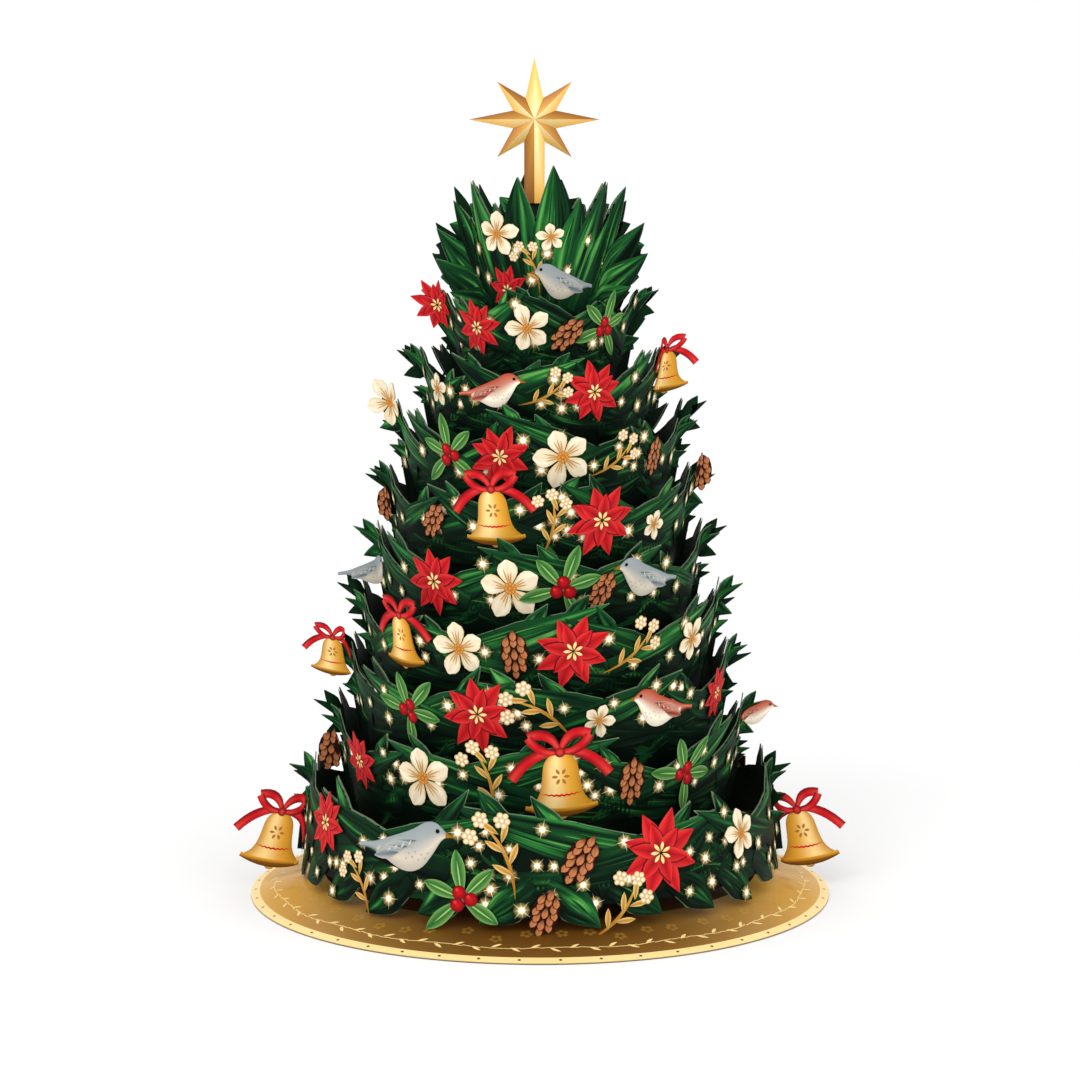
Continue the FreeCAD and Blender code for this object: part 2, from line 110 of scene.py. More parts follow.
# Boughs that are only printed
INNER_DROP = 20.5
INNER_PITCH = 11.5
INNER_RISE = 8
INNER_SHARE = 0.75
INNER_SWAY = 1.5
INNER_LEVELS = 4
INNER_DIM = 0.5

# Brushwork: tones run from 0, almost black, to 1, pale green. Pairs are the ends of a random range.
BODY_TONE = 0.26
LIT_TONE = 0.18
EDGE_TONE = 0.1
TIP_TONE = 0.2
TONE_SPREAD = 0.07
BOUGH_GLOW = 0.03
CROWN_GLOW = 0.1
COLUMN_WIDTH = 1.5
STREAK_GAINS = (-0.34, -0.22, 0.2, 0.3, 0.38)
STREAK_FORCE = 0.8
# Place across, drift, start along, span, and breadth in millimetres
STREAK_RANGES = ((-0.9, 0.9), (-0.3, 0.3), (-0.1, 0.6), (0.3, 0.8), (0.9, 1.6))
LANE_WIDTH = 2
LANE_EDGE = 0.84
LANE_ROOM = 0.6
LANE_END = 0.86
# Half widths of a stroke, and the tone added at its start and at its end
DARK_STROKE = ((0.2, 0.5), -0.2, -0.25)
PALE_STROKE = ((0.16, 0.42), 0.06, 0.34)
DARK_SHARE = 0.36
NEEDLE_PITCH = 4
NEEDLE_SPOTS = 10
NEEDLE_ANGLES = (8, 42)
NEEDLE_SPANS = (9, 18)
NEEDLE_HALF_WIDTHS = (0.4, 1.1)
NEEDLE_CURL = 0.4

# Fairy lights, with the halo and rays as shares of a light's size
LIGHT_TRIES = 420
LIGHT_SPACING = 4.7
COVERED_SPREAD = 2.1
LIGHT_REACH = 2.4
LIGHT_DEPTH = 15
FIRST_LIGHT_DEPTH = 33
LIGHT_SIZES = (1.0, 1.4)
HALO = 2.1
RAYS = (2.1, 2.9)
RAY_HALF_WIDTH = 0.15

# Outlines of ornaments as shares of their size
BELL_FLANK = (
    (0.0, 0.52), (0.14, 0.5), (0.24, 0.42), (0.3, 0.28), (0.33, 0.05), (0.38, -0.18), (0.48, -0.34),
    (0.66, -0.47),
)
# Half width, height, and how far the middle hangs
BELL_RIM = ((0.66, -0.48, 0.15), (0.66, -0.47, 0.07), (0.64, -0.4, 0.07))
# Ribbons of a bow: the place each bends towards, its end, half width, layer and number of spots
BOW = (
    ((0.46, 0.62), (0.86, 0.08), 0.095, 10, 11),
    ((0.14, 0.98), (0.52, 0.84), 0.09, 14, 9),
    ((0.34, 0.5), (0.52, 0.82), 0.075, 17, 9),
)
BIRD_BACK = (
    (-0.56, -0.02), (-0.45, 0.0), (-0.34, 0.02), (-0.18, 0.08), (-0.02, 0.14), (0.12, 0.2), (0.24, 0.27),
    (0.35, 0.28), (0.43, 0.23), (0.5, 0.16),
)
BIRD_BELLY = (
    (-0.56, -0.07), (-0.45, -0.06), (-0.34, -0.08), (-0.18, -0.14), (-0.02, -0.21), (0.12, -0.22),
    (0.24, -0.16), (0.34, -0.03), (0.42, 0.1), (0.49, 0.155),
)
BIRD_TAIL_END = -0.3
# Place along the stem and turn of each leaf, then the middles of the berry clusters
SPRIG_LEAVES = ((-0.35, 0.75), (-0.18, -0.7), (0.02, 0.7), (0.18, -0.6), (0.32, 0.65))
SPRIG_TIPS = ((0.62, 0.1), (0.5, -0.22), (0.42, 0.34))

# The skirt's print: counts over half its round, and distances from its edge
SKIRT_STEPS = 72
RIM_WIDTH = 3.2
DOT_COUNT = 24
DOT_INSET = 1.6
DOT_SIZE = 0.55
GARLAND_COUNT = 46
GARLAND_INSET = 9.0
FLOWER_COUNT = 26
FLOWER_INSETS = (14, 19)
FLOWER_REACH = 1.5
FLOWER_DOT_SIZE = 0.85


def ink(code):
    """Linear colour of a hex code."""
    channels = [int(code[i:i + 2], 16) / 255 for i in (1, 3, 5)]
    return tuple(c / 12.92 if c <= 0.04045 else ((c + 0.055) / 1.055) ** 2.4 for c in channels)


def blend(a, b, share):
    share = min(1.0, max(0.0, share))
    return tuple(x + (y - x) * share for x, y in zip(a, b))


NIGHT = ink("#020a05")
SHADE = ink("#051a0d")
DEEP = ink("#092b16")
MIDDLE = ink("#154a22")
FRESH = ink("#2b7832")
BRIGHT = ink("#5b9f4c")
GREENS = (NIGHT, SHADE, DEEP, MIDDLE, FRESH, BRIGHT)
CARD_BACK = ink("#0a2613")
CUT_EDGE = ink("#74896a")
RED = ink("#c8171f")
RED_LIGHT = ink("#e2403a")
RED_DARK = ink("#6f0a14")
STAMEN = ink("#fbe3a0")
CREAM = ink("#fdf5de")
CREAM_SHADE = ink("#c79d5c")
CREAM_RIM = ink("#d9bf8c")
TAN = ink("#b07b3a")
GOLD = ink("#e2a232")
GOLD_LIGHT = ink("#fde09a")
GOLD_DARK = ink("#9a6216")
CONE = ink("#6b331a")
CONE_LIGHT = ink("#d48655")
CONE_DARK = ink("#240f07")
LEAF = ink("#265f2a")
LEAF_LIGHT = ink("#8fbf68")
SPRIG = ink("#c3923c")
GREY = ink("#8d979b")
GREY_DARK = ink("#4d5a63")
GREY_LIGHT = ink("#cfc4b2")
RUSSET = ink("#b5452a")
RUSSET_DARK = ink("#6e2415")
GLOW = ink("#fffdf0")
GLOW_RIM = ink("#e6c67c")
BLACK = ink("#120c08")
SKIRT_DARK = ink("#402306")
SKIRT_MIDDLE = ink("#653a08")
SKIRT_GOLD = ink("#e4ae48")
SKIRT_RIM = ink("#fbdc97")
STAR_LIGHT = ink("#fdeeb4")
STAR_TIP = ink("#eeb345")
STAR_SHADE = ink("#cc9234")
STAR_DARK = ink("#8f5614")


def tier_top(k):
    return FIRST_TOP + TIER_PITCH * k


def tier_bottom(k):
    return tier_top(k - 1) - TIER_OVERLAP if k else HEM_BOTTOM


def ring_half_width(k, z):
    share = (tier_top(k) - z) / (tier_top(k) - tier_bottom(k))
    return RING_HALF_WIDTHS[k] - (FLARE if k else FIRST_FLARE) * share


def half_length(k):
    return math.pi / 2 * RING_HALF_WIDTHS[k]


def ear_face(k):
    return HALF_SPINE + CARD + (CARD if k % 2 else 0.0)


def bend_tier(k):
    """The place in space of a spot of the flat card of tier k, lifted off its outer face."""
    length = half_length(k)

    def place(s, z, lift):
        radius, face, side = ring_half_width(k, z), ear_face(k), 1 if s > 0 else -1
        beyond = abs(s) - length
        if beyond > FOLD_RADIUS:
            return side * (radius + beyond), -face - lift, z
        if beyond > -FOLD_RADIUS:
            turn = math.pi / 4 * (1 + beyond / FOLD_RADIUS)
            reach = FOLD_RADIUS - lift
            x = radius + FOLD_RADIUS - reach * math.cos(turn)
            return side * x, -face - FOLD_RADIUS + reach * math.sin(turn), z
        angle = s / length * math.pi / 2
        return (radius + lift) * math.sin(angle), -face - (radius + lift) * math.cos(angle), z

    return place


def pairs_round(ring):
    """Each item of a closed ring with the next one."""
    return list(zip(ring, ring[1:] + ring[:1]))


def polar(centre, angle, reach):
    """The spot at an angle and a reach from a centre."""
    return centre[0] + reach * math.cos(angle), centre[1] + reach * math.sin(angle)


def placer(centre, turn, size):
    """A function that takes a spot of an ornament of size 1 to its place on the sheet."""
    c, s = size * math.cos(turn), size * math.sin(turn)
    return lambda a, b: (centre[0] + a * c - b * s, centre[1] + a * s + b * c)


def new_object(name, data):
    """A new object in the scene."""
    piece = bpy.data.objects.new(name, data)
    bpy.context.scene.collection.objects.link(piece)
    return piece


class Sheet:
    """A growing mesh of thin printed shapes; place() turns (s, z, lift) into space."""

    def __init__(self, place):
        self.place = place
        self.points, self.inks, self.faces = [], [], []

    def add(self, s, z, lift, colour):
        self.points.append(self.place(s, z, lift))
        self.inks.append(colour)
        return len(self.points) - 1

    def patch(self, spots, colours, lift):
        """One face through spots, with a colour for each."""
        ids = [self.add(s, z, lift, c) for (s, z), c in zip(spots, colours)]
        self.faces.append(tuple(ids))

    def join(self, other):
        """Take over the shapes of another sheet."""
        first = len(self.points)
        self.points += other.points
        self.inks += other.inks
        self.faces += [tuple(first + i for i in face) for face in other.faces]

    def grid(self, rows, colours, lift, back=False):
        """A patch of rows of spots, front or back face out."""
        ids = [[self.add(s, z, lift, c) for (s, z), c in zip(row, tint)] for row, tint in zip(rows, colours)]
        for low, high in zip(ids, ids[1:]):
            for i in range(len(low) - 1):
                face = (low[i], low[i + 1], high[i + 1], high[i])
                self.faces.append(face[::-1] if back else face)
        return ids

    def card(self, rows, colours, back_colour, lift=0.0, thickness=CARD):
        """A patch with the thickness of the card: printed front, plain back and the edges between them."""
        front = self.grid(rows, colours, lift)
        plain = [[back_colour] * len(row) for row in rows]
        behind = self.grid(rows, plain, lift - thickness, back=True)
        rims = []
        for ids in (front, behind):
            right, left = [row[-1] for row in ids], [row[0] for row in ids]
            rims.append(ids[0] + right[1:] + ids[-1][::-1][1:] + left[::-1][1:-1])
        self.faces += [(a, c, d, b) for (a, b), (c, d) in zip(*[pairs_round(rim) for rim in rims])]

    def disc(self, centre, radius, middle, rim, lift, squash=1.0, turn=0.0, sides=12):
        """A round or oval spot shaded from its middle to its rim."""
        hub = self.add(centre[0], centre[1], lift, middle)
        at, ring = placer(centre, turn, radius), []
        for i in range(sides):
            angle = 2 * math.pi * i / sides
            ring.append(self.add(*at(math.cos(angle), squash * math.sin(angle)), lift, rim))
        self.faces += [(hub, a, b) for a, b in pairs_round(ring)]

    def build(self, name, material):
        mesh = bpy.data.meshes.new(name)
        mesh.from_pydata([(x * MM, y * MM, z * MM) for x, y, z in self.points], [], self.faces)
        layer = mesh.color_attributes.new("ink", "FLOAT_COLOR", "POINT")
        flat = []
        for colour in self.inks:
            flat.extend((*colour, 1.0))
        layer.data.foreach_set("color", flat)
        mesh.materials.append(material)
        mesh.validate()
        return new_object(name, mesh)


class Blade:
    """A tapering, bowed spray from root to tip; at(u, v) runs along and across it."""

    def __init__(self, root, tip, bow, width):
        self.root, self.tip, self.width = root, tip, width
        (x0, z0), (x1, z1) = root, tip
        self.length = math.dist(root, tip)
        self.normal = (-(z1 - z0) / self.length, (x1 - x0) / self.length)
        self.bend = ((x0 + x1) / 2 + self.normal[0] * bow, (z0 + z1) / 2 + self.normal[1] * bow)

    def half_width(self, u):
        if u < 0.5:
            return self.width * (BLADE_ROOT + BLADE_GAIN * u)
        return self.width * BLADE_MIDDLE * (1 - (2 * u - 1) ** 1.4) + BLADE_TIP

    def at(self, u, v, inset=0.0):
        a, b, c = (1 - u) ** 2, 2 * u * (1 - u), u * u
        s = a * self.root[0] + b * self.bend[0] + c * self.tip[0]
        z = a * self.root[1] + b * self.bend[1] + c * self.tip[1]
        across = v * max(0.02, self.half_width(u) - inset)
        return s + self.normal[0] * across, z + self.normal[1] * across

    def rows(self, inset=0.0, columns=5):
        count = max(4, int(self.length / STEP))
        end = 1 - inset / self.length
        spots = [-1 + 2 * j / (columns - 1) for j in range(columns)]
        return [[self.at(end * i / count, v, inset) for v in spots] for i in range(count + 1)]

    def outline(self):
        rim = [i / 6 for i in range(7)]
        return [self.at(u, 1) for u in rim] + [self.at(u, -1) for u in reversed(rim)]


def bough(root, tip, bow, width, fingers):
    """A main blade and the finger blades that branch from it."""
    (x0, z0), (x1, z1) = root, tip
    length, heading = math.dist(root, tip), math.atan2(z1 - z0, x1 - x0)
    nx, nz = -math.sin(heading), math.cos(heading)
    blades = []
    for start, side, reach in fingers:
        turn = heading + side * math.radians(FINGER_SPREAD)
        sag, span = 2 * start * (1 - start) * bow, reach * length
        fork = (x0 + (x1 - x0) * start + nx * sag, z0 + (z1 - z0) * start + nz * sag)
        end = polar(fork, turn, span)
        blades.append(Blade(fork, end, -side * span * FINGER_BOW, width * FINGER_SHARE))
    return blades + [Blade(root, tip, bow, width)]


def tier_boughs(k):
    """The boughs of a tier below the crown, which lean left and right by turns from tier to tier."""
    top, half = tier_top(k), half_length(k)
    reach, hand = half + EAR_LENGTH, 1 if k % 2 else -1
    size = BOUGH_WIDTH * (SLIM_SHARE + (1 - SLIM_SHARE) * half / half_length(0))
    # Root, its drop, tip, its rise, bow, share of the width, and fingers as (place, side, reach)
    plan = (
        (0.50 * half, 15, reach, 5, -5, 1.0, ((0.56, 1, 0.3), (0.8, 1, 0.18), (0.7, -1, 0.24))),
        (0.74 * half, 17, reach - 3, -9, -2, 0.8, ((0.66, 1, 0.28),)),
        (-0.55 * half, 14, 2 - reach, 3, 5, 1.0, ((0.5, -1, 0.32), (0.76, -1, 0.22))),
        (-0.76 * half, 17, 4 - reach, -11, 2, 0.8, ((0.6, 1, 0.32),)),
        (-0.44 * half, 14, 0.24 * half, 5, -4, 1.15, ((0.48, 1, 0.26), (0.74, 1, 0.2))),
        (0.58 * half, 16, 0.08 * half, 2, 4, 1.0, ((0.55, -1, 0.34),)),
        (-0.02 * half, 16, -0.52 * half, 2, 4, 1.0, ((0.6, -1, 0.28),)),
        (0.26 * half, 16, 0.76 * half, 4, -4, 0.95, ((0.6, 1, 0.3),)),
        (-0.9 * half, 16, -0.44 * half, -1, -4, 0.9, ((0.6, 1, 0.32),)),
    )
    blades = []
    for i, (s0, drop, s1, rise, bow, width, fingers) in enumerate(plan):
        sway = math.sin(2.3 * k + 1.7 * i)
        sides = [(fork, side * hand, span) for fork, side, span in fingers]
        root = (hand * (s0 + sway * SWAY_ALONG * half), top - drop)
        tip = (hand * s1, top + rise + sway * SWAY_UP)
        blades += bough(root, tip, hand * bow, size * width, sides)
    return blades


def crown_boughs():
    """Upright boughs, by the place of their tips along the ring and above the top edge."""
    top, half = tier_top(CROWN), half_length(CROWN)
    tips = (
        (-1.38, 4), (-1.16, 14), (-0.94, 8), (-0.72, 21), (-0.44, 13), (-0.19, 22), (0.11, 26), (0.36, 15),
        (0.64, 20), (0.89, 11), (1.13, 19), (1.38, 6), (1.47, -5), (-1.44, -7), (1.36, -17), (-1.36, -19),
    )
    blades = []
    for i, (share, rise) in enumerate(tips):
        s, side = share * half, 1 if share < 0 else -1
        fingers = ((0.68, side, 0.22),) if i % 2 else ()
        root = (s / 2, top - CROWN_ROOT_DROP)
        blades += bough(root, (s, top + rise), side * 3, BOUGH_WIDTH * CROWN_SHARE, fingers)
    return blades


def skirt_slope():
    return SKIRT_HEIGHT / (SKIRT_RADIUS - SKIRT_INNER_RADIUS)


def hem_boughs():
    """Boughs that lean out along the lowest edge, with their tips just above the skirt."""
    floor = (SKIRT_RADIUS - ring_half_width(0, HEM_BOTTOM)) * skirt_slope() + BOARD + HEM_CLEARANCE
    pitch = 2 * half_length(0) / HEM_COUNT
    blades = []
    for i in range(HEM_COUNT):
        s = pitch * (i - (HEM_COUNT - 1) / 2)
        lean = HEM_LEAN if s > 0 else -HEM_LEAN
        tip = (s + lean, floor + HEM_STEP * (i * 2 % 3))
        blades.append(Blade((s - lean, HEM_BOTTOM + HEM_ROOT_RISE), tip, HEM_BOW, BOUGH_WIDTH))
    return blades


def inner_boughs(k):
    """Boughs that are only printed, in a row below those that the die cuts out, or two on the lowest tier."""
    top, half, hand = tier_top(k), half_length(k), -1 if k % 2 else 1
    blades = []
    for row in range(2 if k == 0 else 1):
        count = 8 - row
        for i in range(count):
            sway = math.sin(1.9 * i + 2.6 * k + row)
            side = hand * (1 if i % 3 else -1)
            middle = (2 * (i + 0.5 + 0.25 * sway) / count - 1) * (half + 2)
            span = (0.2 + 0.03 * sway) * half + 4
            low = top - INNER_DROP - INNER_PITCH * row + INNER_SWAY * sway
            fingers = ((0.45, side, 0.36), (0.66, -side, 0.3), (0.8, side, 0.24))
            root, tip = (middle - side * span, low), (middle + side * span, low + INNER_RISE + 2 * sway)
            blades += bough(root, tip, -side * 4, BOUGH_WIDTH * INNER_SHARE, fingers)
    return blades


def inside(outline, spot):
    """Whether a spot lies in a closed outline."""
    s, z = spot
    odd = False
    for (a, b), (c, d) in pairs_round(outline):
        if (b > z) != (d > z) and s < (c - a) * (z - b) / (d - b) + a:
            odd = not odd
    return odd


class Region:
    """The flat outline of a sheet as a lattice of spots, with its enclosed gaps filled."""

    def __init__(self, outlines):
        xs, zs = zip(*[p for outline in outlines for p in outline])
        self.left, self.low = min(xs) - CELL, min(zs) - CELL
        self.wide = int((max(xs) - self.left) / CELL) + 3
        self.high = int((max(zs) - self.low) / CELL) + 3
        card = [[False] * self.wide for row in range(self.high)]
        for outline in outlines:
            columns, rows = self.near(outline, 0), self.near(outline, 1)
            for j in rows:
                for i in columns:
                    card[j][i] = card[j][i] or inside(outline, self.spot(i, j))
        outside, edge = {(0, 0)}, [(0, 0)]
        while edge:
            i, j = edge.pop()
            for a, b in ((i + 1, j), (i - 1, j), (i, j + 1), (i, j - 1)):
                free = 0 <= a < self.wide and 0 <= b < self.high and not card[b][a]
                if free and (a, b) not in outside:
                    outside.add((a, b))
                    edge.append((a, b))
        self.outside = outside

    def near(self, outline, axis):
        origin = (self.left, self.low)[axis]
        values = [(p[axis] - origin) / CELL for p in outline]
        return range(int(min(values)), int(max(values)) + 2)

    def spot(self, i, j):
        return self.left + i * CELL, self.low + j * CELL

    def holds(self, spot):
        i, j = round((spot[0] - self.left) / CELL), round((spot[1] - self.low) / CELL)
        return 0 <= i < self.wide and 0 <= j < self.high and (i, j) not in self.outside

    def fill(self, sheet, above, colour_at):
        """Both faces of the card over every cell above a height that lies wholly inside."""
        for lift, back in ((GROUND_LIFT, False), (GROUND_LIFT - CARD, True)):
            ids = {}
            for j in range(self.high - 1):
                for i in range(self.wide - 1):
                    corners = ((i, j), (i + 1, j), (i + 1, j + 1), (i, j + 1))
                    if self.spot(i, j)[1] < above or any(c in self.outside for c in corners):
                        continue
                    for c in corners:
                        if c not in ids:
                            s, z = self.spot(*c)
                            ids[c] = sheet.add(s, z, lift, CARD_BACK if back else colour_at(z))
                    face = tuple(ids[c] for c in corners)
                    sheet.faces.append(face[::-1] if back else face)


def levels(blades):
    """A drawing level for each blade, above every earlier blade that it may cover."""
    boxes, found = [], []
    for blade in blades:
        xs, zs = zip(*blade.outline())
        box = (min(xs), max(xs), min(zs), max(zs))
        under = [found[i] for i, b in enumerate(boxes)
                 if b[0] < box[1] and b[1] > box[0] and b[2] < box[3] and b[3] > box[2]]
        found.append(1 + max(under, default=0))
        boxes.append(box)
    return found


def with_normals(spots):
    """Each spot of a line with the line's unit normal there."""
    last = len(spots) - 1
    for i, (s, z) in enumerate(spots):
        a, b = spots[max(0, i - 1)], spots[min(last, i + 1)]
        length = math.dist(a, b) or 1
        yield s, z, (a[1] - b[1]) / length, (b[0] - a[0]) / length


def stroke(sheet, spots, half, first, last, lift):
    """A brush stroke through spots that swells in the middle and ends in points."""
    rows, colours = [], []
    count = len(spots) - 1
    for i, (s, z, nx, nz) in enumerate(with_normals(spots)):
        swell = math.sin(math.pi * min(1, (i + 0.12) / (count + 0.12))) ** 0.7
        wide = half * max(0.04, swell)
        rows.append([(s - nx * wide, z - nz * wide), (s + nx * wide, z + nz * wide)])
        colours.append([blend(first, last, i / count)] * 2)
    sheet.grid(rows, colours, lift)


def leaf_green(share):
    """A green of the print, from almost black at 0 to pale at 1."""
    place = min(0.999, max(0.0, share)) * (len(GREENS) - 1)
    step = int(place)
    return blend(GREENS[step], GREENS[step + 1], place - step)


def paint_blade(sheet, blade, lift, dim, glow, rng):
    """The printed face of a blade: dark below, light above, with soft strokes along it."""
    margin = 0.0 if dim else PALE_MARGIN
    rows = blade.rows(margin, 2 * int(blade.width / COLUMN_WIDTH) + 3)
    uphill = 1 if blade.normal[1] > 0 else -1
    tone = glow + rng.uniform(-TONE_SPREAD, TONE_SPREAD)
    streaks = []
    for n in range(int(4 + blade.width * 1.4)):
        gain = rng.choice(STREAK_GAINS)
        middle, drift, start, span, breadth = [rng.uniform(*ends) for ends in STREAK_RANGES]
        streaks.append((middle, drift, start, span, breadth / blade.width, gain))

    def shade(u, v, extra=0.0):
        share = BODY_TONE + LIT_TONE * v * uphill - EDGE_TONE * abs(v) + TIP_TONE * u + tone + extra
        for middle, drift, start, span, breadth, gain in streaks:
            along = (u - start) / span
            if 0 < along < 1:
                across = abs(v - middle - drift * along) / breadth
                share += gain * max(0.0, 1 - across / 2) * math.sin(math.pi * along) * STREAK_FORCE
        return blend(leaf_green(share), NIGHT, dim)

    colours = []
    for i, row in enumerate(rows):
        across = len(row) - 1
        colours.append([shade(i / (len(rows) - 1), -1 + 2 * j / across) for j in range(across + 1)])
    sheet.grid(rows, colours, lift)
    lanes = max(2, int(blade.width / LANE_WIDTH))
    for lane in range(lanes):
        v = -LANE_EDGE + 2 * LANE_EDGE * (lane + rng.uniform(0.3, 0.7)) / lanes
        start = rng.uniform(0.02, 0.45)
        end = min(LANE_END, start + rng.uniform(0.3, 0.5))
        steps = max(4, int((end - start) * blade.length / STEP))
        spots = [blade.at(start + (end - start) * i / steps, v, margin) for i in range(steps + 1)]
        half_widths, at_start, at_end = DARK_STROKE if rng.random() < DARK_SHARE else PALE_STROKE
        half = min(rng.uniform(*half_widths), LANE_ROOM * blade.half_width(end) / lanes)
        stroke(sheet, spots, half, shade(start, v, at_start), shade(end, v, at_end), lift + LEVEL / 2)


def paint_needles(sheet, blade, region, rng):
    """Soft needle strokes that hang from a blade over the dark card behind it."""
    for n in range(int(3 + blade.length / NEEDLE_PITCH)):
        u = rng.uniform(0.02, 0.95)
        here, ahead = blade.at(u, 0), blade.at(min(1, u + 0.1), 0)
        heading = math.atan2(ahead[1] - here[1], ahead[0] - here[0])
        downward = -1 if math.cos(heading) > 0 else 1
        turn = heading + downward * math.radians(rng.uniform(*NEEDLE_ANGLES))
        span = rng.uniform(*NEEDLE_SPANS)
        shares = [i / (NEEDLE_SPOTS - 1) for i in range(NEEDLE_SPOTS)]
        spots = [polar(here, turn - downward * NEEDLE_CURL * t, span * t) for t in shares]
        if all(region.holds(p) for p in spots):
            dark = blend(NIGHT, DEEP, rng.random())
            tip = blend(dark, MIDDLE, rng.uniform(0.0, 0.9))
            half = rng.uniform(*NEEDLE_HALF_WIDTHS)
            stroke(sheet, spots, half, dark, tip, NEEDLE_LIFT + rng.uniform(0, LEVEL))


def light(sheet, centre, size, edge, rng, lift):
    """A warm fairy light: a soft halo, thin rays and a white heart."""
    sheet.disc(centre, size * HALO, blend(GLOW_RIM, MIDDLE, 0.2), edge, lift, sides=14)
    turn, quarter = rng.uniform(0, math.pi), math.pi / 2
    for i in range(8):
        angle = turn + math.pi * i / 4
        tip = polar(centre, angle, size * RAYS[i % 2])
        left = polar(centre, angle + quarter, size * RAY_HALF_WIDTH)
        right = polar(centre, angle - quarter, size * RAY_HALF_WIDTH)
        sheet.patch((right, tip, left), (GLOW, blend(GLOW_RIM, SHADE, 0.3), GLOW), lift + 2 * LAYER)
    sheet.disc(centre, size, GLOW, GLOW_RIM, lift + 3 * LAYER)
    sheet.disc(centre, size * 0.72, GLOW, GLOW, lift + 4 * LAYER)


def petal(sheet, root, angle, length, width, inks, lift, solid=False, blunt=0.5):
    """A pointed or rounded petal with a crease; its inks are for the heart, the body and the edges."""
    heart, body, rim = inks
    count = max(5, int(length / 1.6))
    rows, colours = [], []
    for i in range(count + 1):
        t = i / count
        wide = width / 2 * max(0.03, math.sin(math.pi * t ** (0.5 + blunt))) ** (1.1 - 0.5 * blunt)
        middle = polar(root, angle, length * t)
        row, tint = [], []
        for v in (-1, -0.55, 0, 0.55, 1):
            row.append(polar(middle, angle + math.pi / 2, wide * v))
            tone = blend(heart, body, min(1, t * 1.9))
            tone = blend(tone, rim, 0.65 * v * v) if v else blend(tone, heart, 0.45)
            tint.append(blend(tone, heart, 0.18 if v < 0 else 0))
        rows.append(row)
        colours.append(tint)
    if solid:
        sheet.card(rows, colours, CARD_BACK, lift)
    else:
        sheet.grid(rows, colours, lift)


def ring_of_petals(sheet, centre, count, turn, reach, width, inks, lift, solid=False, blunt=0.25, gap=0.1):
    """Petals round a centre, each a little above or below its neighbours."""
    for i in range(count):
        angle = turn + 2 * math.pi * i / count
        span = reach * (1 - gap) * (1 + 0.07 * math.sin(5 * i + reach))
        root = polar(centre, angle, gap * reach)
        petal(sheet, root, angle, span, width, inks, lift + 2.2 * LAYER * (i % 3), solid, blunt)


def poinsettia(sheet, centre, radius, rng, lift):
    """A red star flower: a large ring, a smaller one over its own shadow, and gold stamens."""
    turn = rng.uniform(0, 2)
    inks, shadow = (RED_DARK, RED, RED_LIGHT), (RED_DARK,) * 3
    ring_of_petals(sheet, centre, 8, turn, radius, radius * 0.44, inks, lift, solid=True)
    ring_of_petals(sheet, centre, 6, turn + 0.36, radius * 0.76, radius * 0.37, shadow, lift + 8 * LAYER)
    ring_of_petals(sheet, centre, 6, turn + 0.4, radius * 0.74, radius * 0.34, inks, lift + 14 * LAYER)
    for i in range(7):
        angle = turn + 2 * math.pi * i / 7
        root, stamen = polar(centre, angle, radius * 0.04), (GOLD, STAMEN, STAMEN)
        petal(sheet, root, angle, radius * 0.22, radius * 0.08, stamen, lift + 22 * LAYER, blunt=0.8)


def blossom(sheet, centre, radius, rng, lift):
    """A pale flower of five broad petals with stamens and a gold heart."""
    turn = rng.uniform(0, 2)
    inks = (CREAM_SHADE, CREAM, CREAM_RIM)
    ring_of_petals(sheet, centre, 5, turn, radius, radius * 0.66, inks, lift, True, 0.95, 0.06)
    for i in range(15):
        angle = turn + 2 * math.pi * (i // 3 + 0.16 * (i % 3 - 1)) / 5
        near, far = 0.16 * radius, radius * rng.uniform(0.5, 0.74)
        spots = [polar(centre, angle, near + (far - near) * t / 3) for t in range(4)]
        stroke(sheet, spots, radius * 0.02, TAN, CREAM_SHADE, lift + 10 * LAYER)
    for i in range(9):
        grain = polar(centre, math.pi * i / 4, radius * (0.14 if i < 8 else 0))
        sheet.disc(grain, radius * 0.07, GOLD, blend(TAN, RUSSET, 0.5), lift + 14 * LAYER, sides=8)


def ribbon(sheet, spots, half, lift):
    """A satin ribbon through spots, light along its middle, cut square at its end."""
    rows, colours = [], []
    count = len(spots) - 1
    for i, (s, z, nx, nz) in enumerate(with_normals(spots)):
        wide = half * (0.35 + 0.65 * math.sin(math.pi / 2 * min(1, 1.6 * i / count)))
        rows.append([(s + nx * wide * v, z + nz * wide * v) for v in (-1, 0, 1)])
        shine = 0.5 + 0.5 * math.sin(7.5 * i / count)
        colours.append([RED_DARK, blend(RED, RED_LIGHT, shine), blend(RED_DARK, RED, 0.6)])
    sheet.card(rows, colours, blend(RED_DARK, RED, 0.5), lift)


def curve_spots(a, b, c, count=9):
    """Spots along the bow from a to c that leans towards b."""
    spots = []
    for i in range(count):
        t = i / (count - 1)
        spots.append(tuple((1 - t) ** 2 * a[n] + 2 * t * (1 - t) * b[n] + t * t * c[n] for n in (0, 1)))
    return spots


def smooth(line, parts=3):
    """A soft curve through the spots of a line."""
    ends = [line[0], *line, line[-1]]
    spots = []
    for a, b, c, d in zip(ends, ends[1:], ends[2:], ends[3:]):
        for i in range(parts):
            t = i / parts
            spots.append(tuple(
                q + 0.5 * t * (r - p) + t * t * (p - 2.5 * q + 2 * r - 0.5 * s)
                + t ** 3 * (1.5 * (q - r) + 0.5 * (s - p))
                for p, q, r, s in zip(a, b, c, d)
            ))
    return spots + [line[-1]]


